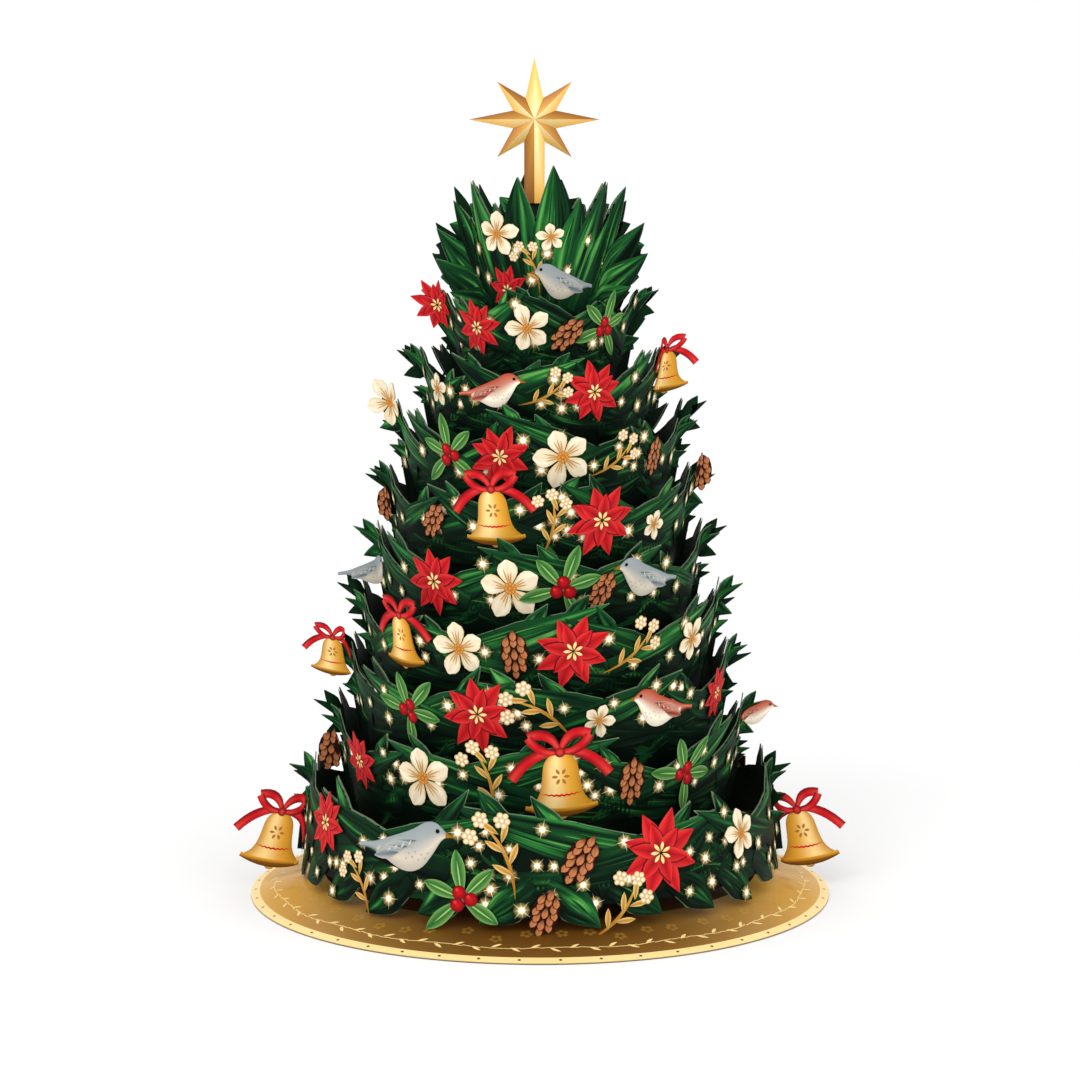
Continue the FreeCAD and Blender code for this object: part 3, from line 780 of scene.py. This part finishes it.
def bell(sheet, centre, size, turn, lift):
    """A gilt bell with a plain rosette and scalloped band, hung from a red bow."""
    at = placer(centre, turn, size)
    sheet.disc(at(0.0, -0.56), size * 0.12, GOLD_LIGHT, GOLD_DARK, lift + 2 * LAYER)
    rows, colours = [], []
    for wide, high in reversed(smooth(BELL_FLANK, 2)):
        row, tint = [], []
        for j in range(9):
            v = -1 + j / 4
            row.append(at(wide * v, high - (0.07 * (1 - v * v) if high < -0.4 else 0)))
            glow = math.exp(-((v + 0.3) / 0.42) ** 2)
            tone = blend(GOLD_DARK, GOLD, 0.35 + 0.65 * (1 - abs(v) ** 2.5))
            tint.append(blend(tone, GOLD_LIGHT, glow * 0.9))
        rows.append(row)
        colours.append(tint)
    sheet.card(rows, colours, blend(GOLD_DARK, GOLD, 0.7), lift + 5 * LAYER)
    shares = [-1 + i / 5 for i in range(11)]
    rim = [[at(wide * v, high - sag * (1 - v * v)) for v in shares] for wide, high, sag in BELL_RIM]
    mouth = [[blend(GOLD_DARK, CONE_DARK, share)] * 11 for share in (0.7, 0.35)]
    sheet.grid(rim[:2], mouth, lift + 6 * LAYER)
    sheet.grid(rim[1:], [[GOLD_DARK] * 11, [GOLD] * 11], lift + 8 * LAYER)
    band = []
    for i in range(25):
        v, scallop = i / 12 - 1, 0.02 * abs(math.sin(math.pi * i / 3))
        band.append(at(0.36 * v, -0.18 - 0.05 * (1 - v * v) - scallop))
    stroke(sheet, band, size * 0.018, RED, RED, lift + 10 * LAYER)
    for i in range(6):
        angle = math.pi * i / 3
        root = at(*polar((0, 0.1), angle, 0.05))
        petal(sheet, root, angle + turn, size * 0.11, size * 0.055, (GOLD_DARK, TAN, TAN), lift + 10 * LAYER)
    knot = at(0, 0.54)
    for side in (-1, 1):
        for (a, b), (c, d), half, layer, count in BOW:
            spots = curve_spots(knot, at(side * a, b), at(side * c, d), count)
            ribbon(sheet, spots, size * half, lift + layer * LAYER)
    sheet.disc(knot, size * 0.09, RED_LIGHT, RED_DARK, lift + 24 * LAYER)


def bird(sheet, centre, size, facing, russet, lift):
    """A small perched bird with a folded wing."""
    def at(a, b):
        return centre[0] + size * facing * a, centre[1] + size * b

    back, breast, dark = (RUSSET, CREAM, RUSSET_DARK) if russet else (GREY, GREY_LIGHT, GREY_DARK)
    upper = [blend(breast, back, 0.8), back]
    rows, colours = [], []
    for (a, b), (c, d) in zip(smooth(BIRD_BELLY), smooth(BIRD_BACK)):
        rows.append([at(a + (c - a) * t, b + (d - b) * t) for t in (0, 0.3, 0.65, 1)])
        lower = [dark, back] if a < BIRD_TAIL_END else [blend(breast, dark, 0.35), breast]
        colours.append(lower + upper)
    if facing < 0:
        rows.reverse()
        colours.reverse()
    sheet.card(rows, colours, dark, lift)
    for n in range(5):
        root = at(0.16 - 0.05 * n, 0.09 - 0.035 * n)
        tip = at(-0.26 - 0.02 * n, -0.02 - 0.025 * n)
        span, angle = math.dist(root, tip), math.atan2(tip[1] - root[1], tip[0] - root[0])
        inks = (back if n % 2 else dark, blend(back, dark, 0.3), blend(back, CREAM, 0.5))
        petal(sheet, root, angle, span, size * 0.1, inks, lift + (5 + 2 * n) * LAYER)
    middle, rim = blend(breast, dark, 0.55), blend(breast, dark, 0.4)
    for n in range(9):
        row, column = n // 4, n % 4
        speck = at(0.05 + 0.07 * column + 0.03 * row, -0.1 + 0.055 * row + 0.02 * (n % 2))
        sheet.disc(speck, size * 0.011, middle, rim, lift + 5 * LAYER, sides=6)
    for n in range(4):
        (a, b), (c, d) = at(0.1 - 0.08 * n, 0.085 - 0.035 * n), at(0.06 - 0.08 * n, -0.02 * n)
        marks = [(a + (c - a) * t / 3, b + (d - b) * t / 3) for t in range(4)]
        stroke(sheet, marks, size * 0.012, blend(back, CREAM, 0.55), back, lift + 17 * LAYER)
    sheet.disc(at(0.385, 0.2), size * 0.022, BLACK, BLACK, lift + 16 * LAYER, sides=8)
    sheet.patch((at(0.47, 0.2), at(0.56, 0.15), at(0.47, 0.14)), (GOLD_DARK,) * 3, lift + 2 * LAYER)


def pine_cone(sheet, centre, size, turn, lift):
    """An open cone, its scales drawn from the tip back to the stalk, each over its own shadow."""
    at = placer(centre, turn, size)
    sheet.disc(centre, size * 0.94, CONE_DARK, CONE_DARK, lift, squash=0.66, turn=turn, sides=16)
    shadow, scale = (CONE_DARK,) * 3, (CONE_DARK, CONE_LIGHT, CONE)
    for row in range(7):
        along = 0.28 * (row - 3)
        wide = 0.62 * math.sqrt(1 - along * along)
        count = 1 if row in (0, 6) else 2 + row % 2
        step = lift + (3 + 2.2 * row) * LAYER
        for i in range(count):
            across = wide * (2 * (i + 0.5) / count - 1)
            root, outward = at(along + 0.26, across * 0.72), turn + math.pi - 0.9 * across
            petal(sheet, root, outward, size * 0.56, size * 0.37, shadow, step, blunt=0.95)
            petal(sheet, root, outward, size * 0.53, size * 0.3, scale, step + 1.2 * LAYER, blunt=0.95)


def berries(sheet, centre, size, turn, lift):
    """Three red berries on a fan of leaves."""
    at, leaf = placer(centre, turn, size), (LEAF, LEAF, LEAF_LIGHT)
    for i, angle in enumerate((0.3, 1.25, 2.3, 3.4, 5.2)):
        span, angle = size * (1.0 + 0.15 * (i % 2)), angle + turn
        petal(sheet, centre, angle, span, size * 0.34, leaf, lift + 2.2 * LAYER * i, blunt=0.8)
        rib = [polar(centre, angle, size * (0.1 + 0.2 * t)) for t in range(5)]
        stroke(sheet, rib, size * 0.02, LEAF_LIGHT, LEAF_LIGHT, lift + 13 * LAYER)
    for a, b in ((0.0, 0.16), (-0.17, -0.08), (0.17, -0.1)):
        berry = at(a, b)
        gleam = (berry[0] - size * 0.05, berry[1] + size * 0.06)
        sheet.disc(berry, size * 0.17, RED, RED_DARK, lift + 16 * LAYER)
        sheet.disc(gleam, size * 0.05, RED_LIGHT, RED, lift + 19 * LAYER, sides=8)


def sprig(sheet, centre, size, turn, lift):
    """A gilt sprig with leaves and white berry clusters at its tips."""
    at, leaf = placer(centre, turn, size), (GOLD_DARK, SPRIG, GOLD_LIGHT)
    stem = curve_spots(at(-0.7, 0), at(0, -0.22), at(0.5, 0.06))
    stroke(sheet, stem, size * 0.03, GOLD_DARK, SPRIG, lift)
    for along, spread in SPRIG_LEAVES:
        root = at(along, -0.1)
        petal(sheet, root, turn + spread, size * 0.36, size * 0.1, leaf, lift + 2 * LAYER, blunt=0.6)
    for tip in SPRIG_TIPS:
        for n in range(7):
            berry = at(*polar(tip, math.pi * n / 3, 0.085 if n else 0))
            sheet.disc(berry, size * 0.052, CREAM, CREAM_SHADE, lift + (4 + n % 2) * LAYER, sides=8)


# Ornaments of each tier: kind, place across the ring from -1 to 1, drop below the top edge, size
LAYOUT = (
    (("bird", -0.55, 10, 35), ("sprig", -0.16, 10, 22), ("cone", 0.16, 11, 8.5),
     ("poinsettia", 0.48, 11, 15), ("blossom", 0.82, 10, 9), ("berries", -0.3, 25, 14.5),
     ("cone", 0.02, 29, 7.5), ("sprig", 0.3, 29, 20), ("poinsettia", -0.88, 8, 12),
     ("sprig", -0.72, 26, 18)),
    (("bell", 0.1, 9, 20), ("blossom", -0.56, 10, 11.5), ("sprig", -0.26, 9, 20), ("cone", 0.44, 10, 8),
     ("berries", 0.7, 10, 14), ("poinsettia", -0.88, 9, 11)),
    (("poinsettia", -0.32, 9, 13.5), ("sprig", 0.0, 9, 21), ("blossom", 0.3, 11, 6),
     ("bird_russet", 0.64, 9, 28), ("berries", -0.68, 10, 14), ("poinsettia", 0.93, 8, 10)),
    (("cone", -0.14, 10, 8), ("poinsettia", 0.18, 9, 13.5), ("blossom", -0.44, 9, 10),
     ("sprig", 0.5, 10, 19), ("bell", -0.76, 8, 16), ("blossom", 0.84, 9, 8)),
    (("blossom", -0.18, 10, 11), ("berries", 0.14, 10, 14), ("poinsettia", -0.64, 9, 12.5),
     ("cone", 0.38, 11, 7), ("bird", 0.66, 8, 28)),
    (("bell", -0.3, 7, 17), ("poinsettia", 0.4, 9, 13), ("sprig", 0.06, 10, 17),
     ("blossom", 0.76, 12, 5.5), ("cone", -0.7, 10, 7)),
    (("blossom", 0.16, 9, 10.5), ("poinsettia", -0.28, 9, 11.5), ("sprig", 0.52, 10, 16),
     ("cone", 0.82, 10, 6.5), ("berries", -0.64, 9, 13)),
    (("poinsettia", 0.46, 9, 11.5), ("bird_russet", -0.42, 9, 24), ("sprig", 0.04, 9, 15),
     ("blossom", -0.88, 9, 6)),
    (("blossom", -0.14, 9, 8.5), ("poinsettia", -0.68, 9, 10), ("cone", 0.3, 11, 7),
     ("berries", 0.7, 9, 12)),
    (("poinsettia", -0.55, 18, 9), ("bird", 0.42, 15.5, 25), ("blossom", 0.16, -1, 5),
     ("sprig", -0.14, 10, 14), ("blossom", -0.62, -2, 8)),
)


# How the random turn of an ornament is scaled, and what is added left and right of the middle
TURNS = {"bell": (0.12, 0, 0), "cone": (1, 1.2, 1.2), "sprig": (1, 2.2, 0.9)}
# Ornaments over a tier's ears: kind, side, place beyond the ring, rise above the top edge, size, turn
EAR_LAYOUT = {
    0: (("bell", -1, 11.5, -22.5, 18, math.radians(-8)),),
    1: (("cone", -1, 6, -11, 7.5, 1.2), ("bird_russet", 1, 4, 2, 18, 0)),
    2: (("bell", -1, 8, 2, 12, math.radians(-10)),),
    4: (("bird", -1, 6.5, -11, 21, 0),),
    5: (("cone", -1, 3.2, -7.7, 6, 1.4), ("cone", 1, 4, 4, 6.5, 1.8)),
    6: (("blossom", -1, 3, 7, 9, 0),),
    7: (("bell", 1, 4, -3, 13, math.radians(8)),),
    8: (("poinsettia", -1, 4.5, -1.6, 9.5, 0),),
}
FLOWERS = {"poinsettia": poinsettia, "blossom": blossom}
TURNED = {"bell": bell, "cone": pine_cone, "berries": berries, "sprig": sprig}


def ornament(sheet, kind, centre, size, turn, facing, rng, lift):
    """One ornament of a kind, turned by an angle or, for a bird, facing a side."""
    if kind in FLOWERS:
        FLOWERS[kind](sheet, centre, size, rng, lift)
    elif kind in TURNED:
        TURNED[kind](sheet, centre, size, turn, lift)
    else:
        bird(sheet, centre, size, facing, kind == "bird_russet", lift)


def decorate(sheet, k, rng):
    """The tier's printed ornaments in their places."""
    for i, (kind, across, drop, size) in enumerate(LAYOUT[k]):
        centre = (math.asin(across) * RING_HALF_WIDTHS[k], tier_top(k) - drop)
        scale, left, right = TURNS.get(kind, (1, 0, 0))
        turn = scale * rng.uniform(-0.5, 0.5) + (right if across > 0 else left)
        facing = -1 if across > 0 else 1
        ornament(sheet, kind, centre, size, turn, facing, rng, ORNAMENT_LIFT + ORNAMENT_STEP * (i % 3))


def ear_ornaments(sheet, k, rng, front):
    """The ornaments that reach over the ears, which the die cuts out; the lowest shows its back too."""
    if k > 0 and not front:
        return
    behind = Sheet(lambda s, z, lift: sheet.place(s, z, 2 * ORNAMENT_LIFT - CARD - lift))
    for kind, side, beyond, rise, size, turn in EAR_LAYOUT.get(k, ()):
        centre = (side * (half_length(k) + beyond), tier_top(k) + rise)
        for face in (sheet,) if k else (sheet, behind):
            ornament(face, kind, centre, size, turn, 1, rng, ORNAMENT_LIFT)
    sheet.join(behind)


def paint_tier(k, front, material):
    """One printed and die-cut sheet; the back of the tree is the same design turned round."""
    rng = random.Random(SEED + k)
    sheet = Sheet(bend_tier(k))
    end, bottom, top = half_length(k) + GLUE_STRIP, tier_bottom(k), tier_top(k) - BACKING_DROP
    if k == CROWN:
        cut, printed, glow = crown_boughs(), [], CROWN_GLOW
    else:
        cut, printed, glow = tier_boughs(k), inner_boughs(k), BOUGH_GLOW
    if k == 0:
        cut = hem_boughs() + cut
    strip = [(-end, bottom), (end, bottom), (end, top), (-end, top)]
    region = Region([blade.outline() for blade in cut] + [strip])

    def ground(z):
        return blend(NIGHT, SHADE, 0.6 * (z - bottom) / (tier_top(k) - bottom))

    columns = int(2 * end / STEP)
    heights = [bottom + (top - bottom) * i / 8 for i in range(9)]
    rows = [[(-end + 2 * end * i / columns, z) for i in range(columns + 1)] for z in heights]
    sheet.card(rows, [[ground(z)] * (columns + 1) for z in heights], CARD_BACK, GROUND_LIFT)
    region.fill(sheet, top - CELL, ground)
    for blade in cut:
        pale = blade.rows()
        sheet.card(pale, [[CUT_EDGE] * len(row) for row in pale], CARD_BACK)
    for blade in cut + printed:
        paint_needles(sheet, blade, region, rng)
    held = [blade for blade in printed if all(region.holds(p) for p in blade.outline())]
    for blade, level in zip(held, levels(held)):
        lift = INNER_LIFT + LEVEL * min(level - 1, INNER_LEVELS)
        paint_blade(sheet, blade, lift, INNER_DIM, BOUGH_GLOW, rng)
    for blade, level in zip(cut, levels(cut)):
        paint_blade(sheet, blade, BOUGH_LIFT + LEVEL * level, 0.0, glow, rng)
    scatter_lights(sheet, k, region, cut, rng)
    decorate(sheet, k, rng)
    ear_ornaments(sheet, k, rng, front)
    if not front:
        sheet.points = [(-x, -y, z) for x, y, z in sheet.points]
    node = "tier_%02d_%s" % (k + 1, "front" if front else "back")
    piece = sheet.build(node + "_print", material)
    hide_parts(node)
    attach(piece, "root")


def scatter_lights(sheet, k, region, boughs, rng):
    """Fairy lights, close together in the dark gaps between the boughs and fewer over the boughs."""
    end = half_length(k)
    outlines = [blade.outline() for blade in boughs]
    placed = []
    for n in range(LIGHT_TRIES):
        s = rng.uniform(-end, end)
        z = tier_top(k) - rng.uniform(0, LIGHT_DEPTH if k else FIRST_LIGHT_DEPTH)
        covered = any(inside(outline, (s, z)) for outline in outlines)
        spacing = LIGHT_SPACING * (COVERED_SPREAD if covered else 1)
        sides = ((0, 0), (-1, 0), (1, 0), (0, -1), (0, 1))
        whole = all(region.holds((s + a * LIGHT_REACH, z + b * LIGHT_REACH)) for a, b in sides)
        if whole and all(math.dist((s, z), other) > spacing for other in placed):
            placed.append((s, z))
            edge, lift = (DEEP, LIGHT_LIFT) if covered else (NIGHT, GLOW_LIFT)
            light(sheet, (s, z), rng.uniform(*LIGHT_SIZES), edge, rng, lift)


def skirt_ink_and_shade(radius, angle):
    """Gold print at the sides; under the boughs in front and behind, painted shade and reflection of the
    boughs turn it brown, a little lighter outwards.
    """
    along = (radius - SKIRT_INNER_RADIUS) / (SKIRT_RADIUS - SKIRT_INNER_RADIUS)
    sides = abs(math.sin(angle)) ** 3
    tone = blend(SKIRT_DARK, SKIRT_MIDDLE, 0.2 + 0.6 * along)
    return blend(tone, SKIRT_GOLD, 0.8 * sides + 0.1 * along)


def half_turn(share):
    """The angle round half the skirt, from its left end at 0 to its right end at 1."""
    return math.pi * (share - 0.5)


def paint_skirt(front, material):
    """Half the flared skirt: a pale rim with small dots, a line of leaves and faint flowers."""
    def place(angle, radius, lift):
        height = BOARD + (SKIRT_RADIUS - radius) * skirt_slope() + lift
        return radius * math.sin(angle), -radius * math.cos(angle), height

    sheet = Sheet(place)
    angles = [half_turn(i / SKIRT_STEPS) for i in range(SKIRT_STEPS + 1)]
    rim = SKIRT_RADIUS - RIM_WIDTH
    radii = [rim - (rim - SKIRT_INNER_RADIUS) * i / 6 for i in range(7)]
    rows = [[(a, r) for a in angles] for r in radii]
    # The skirt's ground carries painted shade and reflection of the boughs, brown under them in front and
    # behind.
    sheet.card(rows, [[skirt_ink_and_shade(r, a) for a, r in row] for row in rows], SKIRT_DARK, thickness=BOARD)
    band = [[(a, r) for a in angles] for r in (SKIRT_RADIUS, rim)]
    sheet.card(band, [[SKIRT_RIM] * len(angles)] * 2, SKIRT_DARK, thickness=BOARD)
    for i in range(DOT_COUNT):
        angle = half_turn((i + 0.5) / DOT_COUNT)
        skirt_dot(sheet, angle, SKIRT_RADIUS - DOT_INSET, DOT_SIZE, CONE, 6 * LAYER)
    for i in range(GARLAND_COUNT):
        garland_leaf(sheet, half_turn((i + 0.5) / GARLAND_COUNT), i)
    rng = random.Random(SEED)
    for i in range(FLOWER_COUNT):
        angle = half_turn((i + rng.uniform(0.3, 0.7)) / FLOWER_COUNT)
        faint_flower(sheet, angle, SKIRT_RADIUS - rng.uniform(*FLOWER_INSETS), rng)
    piece = sheet.build("skirt_front_print_and_painted_shade" if front else "skirt_back_print_and_painted_shade", material)
    if not front:
        for v in piece.data.vertices:
            v.co.x, v.co.y = -v.co.x, -v.co.y
    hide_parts("skirt_front" if front else "skirt_back")
    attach(piece, "root")


def skirt_dot(sheet, angle, radius, size, colour, lift):
    """A round dot on the skirt."""
    turns = [math.pi * i / 4 for i in range(8)]
    rim = [(angle - size * math.cos(turn) / radius, radius + size * math.sin(turn)) for turn in turns]
    sheet.patch(rim, [colour] * len(rim), lift)


def faint_flower(sheet, angle, radius, rng):
    """A flower of five dots on the skirt, barely lighter than its ground, turned at random."""
    turn = rng.uniform(0, math.pi)
    # A little lighter than the skirt's ground, with the same painted shade.
    colour = blend(skirt_ink_and_shade(radius, angle), SKIRT_GOLD, 0.2)
    for i in range(5):
        a, b = polar((0, 0), turn + 0.4 * math.pi * i, FLOWER_REACH)
        skirt_dot(sheet, angle + a / radius, radius + b, FLOWER_DOT_SIZE, colour, 5 * LAYER)


def garland_leaf(sheet, angle, i):
    """A short stem and a leaf of the garland, on alternate sides of its line."""
    side, radius = 1 if i % 2 else -1, SKIRT_RADIUS - GARLAND_INSET
    stem, leaf = [], []
    for t in (1, 0, -1):
        a, r = angle + t * math.pi / 2 / GARLAND_COUNT, radius + 0.6 * math.sin(i + t)
        stem.append([(a, r - 0.16), (a, r + 0.16)])
    for t, wide in ((1, 0.05), (0.7, 0.6), (0.35, 0.75), (0, 0.05)):
        a, r = angle + 3.6 * t / radius, radius + side * t * 2.2
        leaf.append([(a, r - wide), (a, r + wide)])
    sheet.grid(stem, [[SKIRT_RIM] * 2] * 3, 6 * LAYER)
    sheet.grid(leaf, [[SKIRT_RIM, blend(SKIRT_RIM, SKIRT_GOLD, 0.4)]] * 4, 8 * LAYER)


def paint_star(front, material):
    """Half the star: each arm is folded along its middle, with a painted highlight on one side and painted
    shade on the other.
    """
    base, cx, cz = HALF_SPINE + CARD, *STAR_CENTRE
    corners = []
    for i in range(16):
        reach = STAR_ROOT if i % 2 else STAR_ARMS[i // 2 % 4]
        x, z = polar(STAR_CENTRE, math.pi / 2 - math.pi * i / 8, reach)
        corners.append((x, base, z))
    foot, root = cz - STEM_LENGTH, corners[7][2]
    right, left = cx + STEM_HALF_WIDTH, cx - STEM_HALF_WIDTH
    stem = [(right, base, root), (right, base, foot), (cx, base + STEM_RELIEF, foot), (left, base, foot),
            (left, base, root)]
    rim = corners[:8] + stem + corners[9:]
    sheet = Sheet(lambda x, z, y: (x, -y, z))
    centre = (cx, base + STAR_RELIEF, cz)
    # Painted light: one side of each fold and of the stem gets a painted highlight, palest near the middle;
    # the other side gets painted shade.
    for i, (a, b) in enumerate(pairs_round(rim)):
        bright = i % 2 == (0 if i < 8 else 1)
        if a in stem or b in stem:
            bright = a[0] > cx or b[0] > cx
        near, far = (STAR_LIGHT, STAR_TIP) if bright else (STAR_SHADE, STAR_DARK)
        ids = [sheet.add(x, z, y, c) for (x, y, z), c in ((centre, near), (a, far), (b, far))]
        under = [sheet.add(x, z, y - CARD, STAR_DARK) for x, y, z in (centre, a, b)]
        sheet.faces += [tuple(ids), tuple(reversed(under)), (ids[1], under[1], under[2], ids[2])]
    if not front:
        sheet.points = [(2 * cx - x, -y, z) for x, y, z in sheet.points]
    piece = sheet.build("star_front_print_and_painted_light" if front else "star_back_print_and_painted_light", material)
    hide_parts("star_front" if front else "star_back")
    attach(piece, "root")


def blank_material(name):
    """A material without nodes, and its node tree."""
    material = bpy.data.materials.new(name)
    material.use_nodes = True
    material.node_tree.nodes.clear()
    return material, material.node_tree


def node_of(tree, kind, **values):
    """A new node, with the values of its inputs given by name."""
    node = tree.nodes.new("ShaderNode" + kind)
    for name, value in values.items():
        node.inputs[name.replace("_", " ")].default_value = value
    return node


def card_material(name, roughness, shine, metallic=0.0, mottle=0.12, plain=None):
    """Coated card: the printed ink, or one plain colour, with faint mottle and paper grain."""
    material, tree = blank_material(name)
    link = tree.links.new
    out = node_of(tree, "OutputMaterial")
    shader = node_of(tree, "BsdfPrincipled", Roughness=roughness, Metallic=metallic, Specular_IOR_Level=shine)
    place = node_of(tree, "TexCoord")
    cloud = node_of(tree, "TexNoise", Scale=90.0, Detail=5.0)
    grain = node_of(tree, "TexNoise", Scale=1400.0, Detail=3.0)
    span = node_of(tree, "MapRange", To_Min=1 - mottle, To_Max=1 + mottle)
    bump = node_of(tree, "Bump", Strength=0.15, Distance=0.00004)
    scale = node_of(tree, "VectorMath")
    scale.operation = "SCALE"
    if plain:
        scale.inputs[0].default_value = plain
    else:
        source = node_of(tree, "Attribute")
        source.attribute_name = "ink"
        link(source.outputs["Color"], scale.inputs[0])
    link(place.outputs["Object"], cloud.inputs["Vector"])
    link(place.outputs["Object"], grain.inputs["Vector"])
    link(cloud.outputs["Fac"], span.inputs["Value"])
    link(span.outputs["Result"], scale.inputs["Scale"])
    link(scale.outputs["Vector"], shader.inputs["Base Color"])
    link(grain.outputs["Fac"], bump.inputs["Height"])
    link(bump.outputs["Normal"], shader.inputs["Normal"])
    link(shader.outputs["BSDF"], out.inputs["Surface"])
    return material


def dress():
    """Every visible surface: printed sheets, star and skirt, and the plain card inside."""
    printed = card_material("printed_card", 0.55, 0.05)
    gilt = card_material("gilt_card", 0.34, 0.5, 0.35, 0.06)
    # The skirt's ink holds its print and the painted shade and reflection of the boughs.
    skirt_card = card_material("skirt_card_print_and_painted_shade", 0.42, 0.22, 0.1, 0.07)
    for k in range(TIER_COUNT):
        for front in (True, False):
            paint_tier(k, front, printed)
    for front in (True, False):
        paint_skirt(front, skirt_card)
        paint_star(front, gilt)
    inner = card_material("inner_card_plain", 0.65, 0.08, 0.0, 0.2, CARD_BACK)
    board = card_material("base_board_plain", 0.7, 0.2, 0.0, 0.15, SKIRT_DARK)
    for name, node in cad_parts.items():
        if name == "spine" or "platform" in name:
            node.data.materials[0] = inner
        elif name == "base_plate":
            node.data.materials[0] = board


def backdrop():
    """A plain white floor that keeps the soft shadow and fades into the white world."""
    half = 3.0
    corners = [(-half, -half, 0), (half, -half, 0), (half, half, 0), (-half, half, 0)]
    mesh = bpy.data.meshes.new("floor")
    mesh.from_pydata(corners, [], [(0, 1, 2, 3)])
    floor = new_object("floor", mesh)
    floor.location.z = -0.0002
    material, tree = blank_material("floor_white")
    link = tree.links.new
    white = (0.9, 0.9, 0.9, 1)
    shader = node_of(tree, "BsdfPrincipled", Base_Color=white, Roughness=0.9, Specular_IOR_Level=0.0)
    place = node_of(tree, "TexCoord")
    reach = node_of(tree, "VectorMath")
    reach.operation = "LENGTH"
    fade = node_of(tree, "MapRange", From_Min=0.25, From_Max=0.7)
    clear = node_of(tree, "BsdfTransparent")
    mix = node_of(tree, "MixShader")
    out = node_of(tree, "OutputMaterial")
    link(place.outputs["Object"], reach.inputs[0])
    link(reach.outputs["Value"], fade.inputs["Value"])
    link(fade.outputs["Result"], mix.inputs["Fac"])
    link(shader.outputs["BSDF"], mix.inputs[1])
    link(clear.outputs["BSDF"], mix.inputs[2])
    link(mix.outputs["Shader"], out.inputs["Surface"])
    mesh.materials.append(material)
    world = bpy.data.worlds.new("studio")
    bpy.context.scene.world = world
    world.use_nodes = True
    background = world.node_tree.nodes["Background"]
    background.inputs["Color"].default_value = (1, 1, 1, 1)
    background.inputs["Strength"].default_value = 1.0


def lamp(name, place, size, power):
    """A square lamp turned towards the middle of the tree."""
    data = bpy.data.lights.new(name, "AREA")
    data.size, data.energy = size, power
    piece, middle = new_object(name, data), Vector((0, 0, 0.14))
    piece.location = place
    piece.rotation_euler = (middle - Vector(place)).to_track_quat("-Z", "Y").to_euler()


def camera():
    """The photograph's view: one metre away, a little above the middle of the tree."""
    data = bpy.data.cameras.new("camera")
    data.lens, data.sensor_width = 91.4, 36
    view, down = new_object("camera", data), 6.6
    view.location = (0.0, -1.0, 0.246)
    view.rotation_euler = (math.radians(90 - down), 0, 0)
    bpy.context.scene.camera = view


dress()
backdrop()
lamp("key", place=(-0.7, -1.1, 1.1), size=0.9, power=9)
lamp("fill", place=(0.9, -0.9, 0.6), size=1.0, power=4)
camera()
bpy.context.scene.view_settings.view_transform = "Standard"
bpy.context.view_layer.update()
